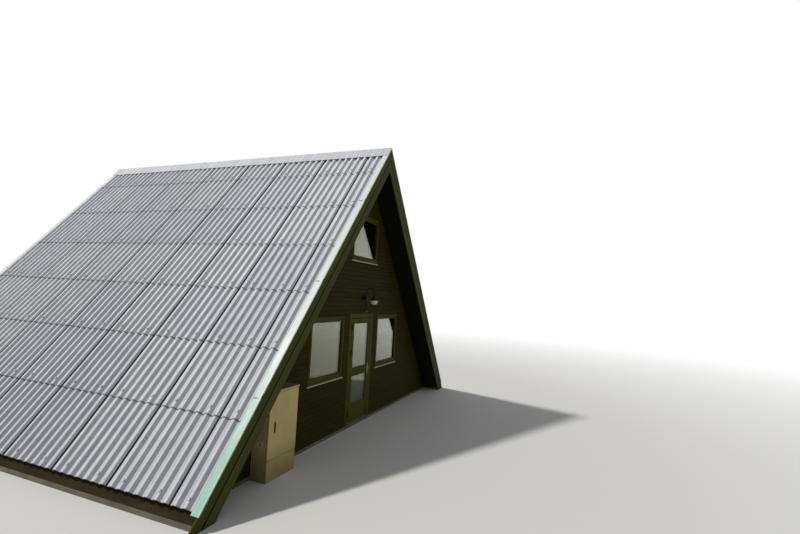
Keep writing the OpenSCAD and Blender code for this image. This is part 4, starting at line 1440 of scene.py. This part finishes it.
def front_and_back(shape, name, finishes, slot, node=None):
    """The front piece and its mirrored copy at the back gable, for the CAD nodes at both ends."""
    for end, piece in (("front_", shape), ("back_", shape.mirrored(1))):
        piece.build(end + name, finishes, slot, replaces=[end + node] if node else ())


def make_roof():
    roof_sheets(-1, "left_roof_sheets")
    roof_sheets(1, "right_roof_sheets")
    ridge_cap()
    front_and_back(verge_caps(), "verge_caps_folded", [MINT], "verge_metal", "verge_caps")
    for layer, limits, middle in (("outer", OUTER_BOARD, OUTER_BREAK), ("inner", INNER_BOARD, INNER_BREAK)):
        front_and_back(barge_boards(limits, middle), layer + "_boards_cut", [BARGE, SCREW, SEAL],
                       "barge_board", layer + "_boards")
    front_and_back(soffit_boards(), "soffit_boards", [SOFFIT_WOOD], "wall_boards")
    for side in ("left", "right"):
        dress(side + "_roof_slab", FOOT_WOOD)
        dress(side + "_battens", FOOT_WOOD)
        dress(side + "_footing", CONCRETE)
    dress("ground_floor", CONCRETE)
    dress("loft_floor", FLOOR_WOOD)


def make_gables():
    windows = window_set()
    holes = [(low.x, high.x, low.z - SILL_HEIGHT, high.z) for _, low, high in windows]
    frame_low, frame_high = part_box("door_frame")
    door_hole = (frame_low.x, frame_high.x, FLOOR_Z - 0.01, frame_high.z)
    gable_boards(holes + [door_hole]).build(
        "front_wall_boards", [WALL], "wall_boards",
        replaces=["front_wall_left", "front_wall_right", "front_wall_over_door"])
    gable_boards(holes).mirrored(1).build("back_wall_boards", [WALL], "wall_boards", replaces=["back_wall"])
    for name, low, high in windows:
        front_and_back(window(low, high), name + "_joinery", [FRAME, SEAL], "green_frame", name)
    panes = Shape()
    sills = Shape()
    inner, side = MEMBER - GLASS_OVERLAP, SIDE_MEMBER - GLASS_OVERLAP
    for _, low, high in windows:
        glass_low = Vector((low.x + side, GLASS_Y, low.z + inner))
        glass_high = Vector((high.x - side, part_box("front_glass")[1].y, high.z - inner))
        glazing(panes, glass_low, glass_high)
        sill(sills, Vector((low.x - SILL_EAR, WALL_Y - SILL_REACH, low.z - SILL_HEIGHT)),
             Vector((high.x + SILL_EAR, WALL_Y, low.z)))
        # The timber packing under the window, behind the sill
        sills.block((low.x + 0.0005, WALL_Y + 0.002, low.z - SILL_HEIGHT + 0.0003),
                    (high.x - 0.0005, WALL_INNER_Y, low.z - 0.003), 0.002, 1, 0)
    front_and_back(panes, "panes", [PANE, SEAL], "pane", "glass")
    front_and_back(sills, "sills_bent", [SILL_METAL, FRAME, SILL_TOP], "sill_metal", "sills")


def make_stage():
    """A pale floor that fades to white far off, for camera, gloss and glass rays."""
    reach = 90.0
    mesh = bpy.data.meshes.new("floor")
    mesh.from_pydata([(-reach, -reach, 0), (reach, -reach, 0), (reach, reach, 0), (-reach, reach, 0)],
                     [], [(0, 1, 2, 3)])
    floor = add_object("floor", mesh)
    g = Graph("pale_floor", 0.9, 0.0, 0.1)
    g.set("Base Color", colour(206, 205, 201))
    flat = g.stretch(g.place(), (1, 1, 0))
    length = add_node(g.tree, "ShaderNodeVectorMath", {0: flat}, "Value", operation="LENGTH")
    share = g.math("MULTIPLY", g.spread(length, 9.0, 26.0), seen_rays(g.tree))
    glow = add_node(g.tree, "ShaderNodeEmission", {"Color": (1, 1, 1, 1)})
    blend = add_node(g.tree, "ShaderNodeMixShader", {0: share, 1: g.shader.outputs[0], 2: glow})
    feed(g.tree, g.tree.nodes["Material Output"].inputs["Surface"], blend)
    mesh.materials.append(g.material)


def make_light():
    """Soft light from all round that looks white to seen rays, and one sun."""
    world = bpy.data.worlds.new("studio")
    bpy.context.scene.world = world
    world.use_nodes = True
    tree = world.node_tree
    soft = tree.nodes["Background"]
    soft.inputs["Color"].default_value = (0.93, 0.96, 1.0, 1)
    soft.inputs["Strength"].default_value = 0.36
    white = add_node(tree, "ShaderNodeBackground", {"Color": (1, 1, 1, 1), "Strength": 1.0})
    inputs = {0: seen_rays(tree), 1: soft.outputs[0], 2: white}
    feed(tree, tree.nodes["World Output"].inputs[0], add_node(tree, "ShaderNodeMixShader", inputs))
    key = bpy.data.lights.new("key", "SUN")
    key.energy = 2.8
    key.angle = math.radians(4)
    key.color = (1.0, 0.985, 0.96)
    holder = add_object("key", key)
    toward = Vector((-0.45, 0.50, 0.74))
    holder.rotation_euler = toward.to_track_quat("Z", "Y").to_euler()


def make_camera():
    """The photo's camera: place, turn, tilt and roll as fitted to its points."""
    place = Vector((-8.3721, -7.7157, 2.6121))
    yaw = math.radians(68.2122)
    pitch = math.radians(3.7663)
    roll = math.radians(3.0424)
    ahead = Vector((math.sin(yaw) * math.cos(pitch), math.cos(yaw) * math.cos(pitch), math.sin(pitch)))
    right = Vector((math.cos(yaw), -math.sin(yaw), 0))
    up = right.cross(ahead)
    turned_right = right * math.cos(roll) + up * math.sin(roll)
    turned_up = up * math.cos(roll) - right * math.sin(roll)
    data = bpy.data.cameras.new("camera")
    data.sensor_fit = "HORIZONTAL"
    data.sensor_width = 36.0
    data.lens = 20.2213
    data.clip_start = 0.05
    data.clip_end = 400
    camera = add_object("camera", data)
    matrix = camera.matrix_world.copy()
    for row in range(3):
        matrix[row][0] = turned_right[row]
        matrix[row][1] = turned_up[row]
        matrix[row][2] = -ahead[row]
        matrix[row][3] = place[row]
    camera.matrix_world = matrix
    bpy.context.scene.camera = camera


for make in (make_roof, make_gables, door_frame, threshold, door_leaf, door_glass, door_hinges,
             door_handle, lamp_bracket, lamp_knob, lamp_shade, lamp_bowl, cabinet_base, cabinet_body,
             cabinet_lid, cabinet_door, cabinet_handle, make_stage, make_light, make_camera):
    make()
bpy.context.scene.view_settings.view_transform = "Standard"
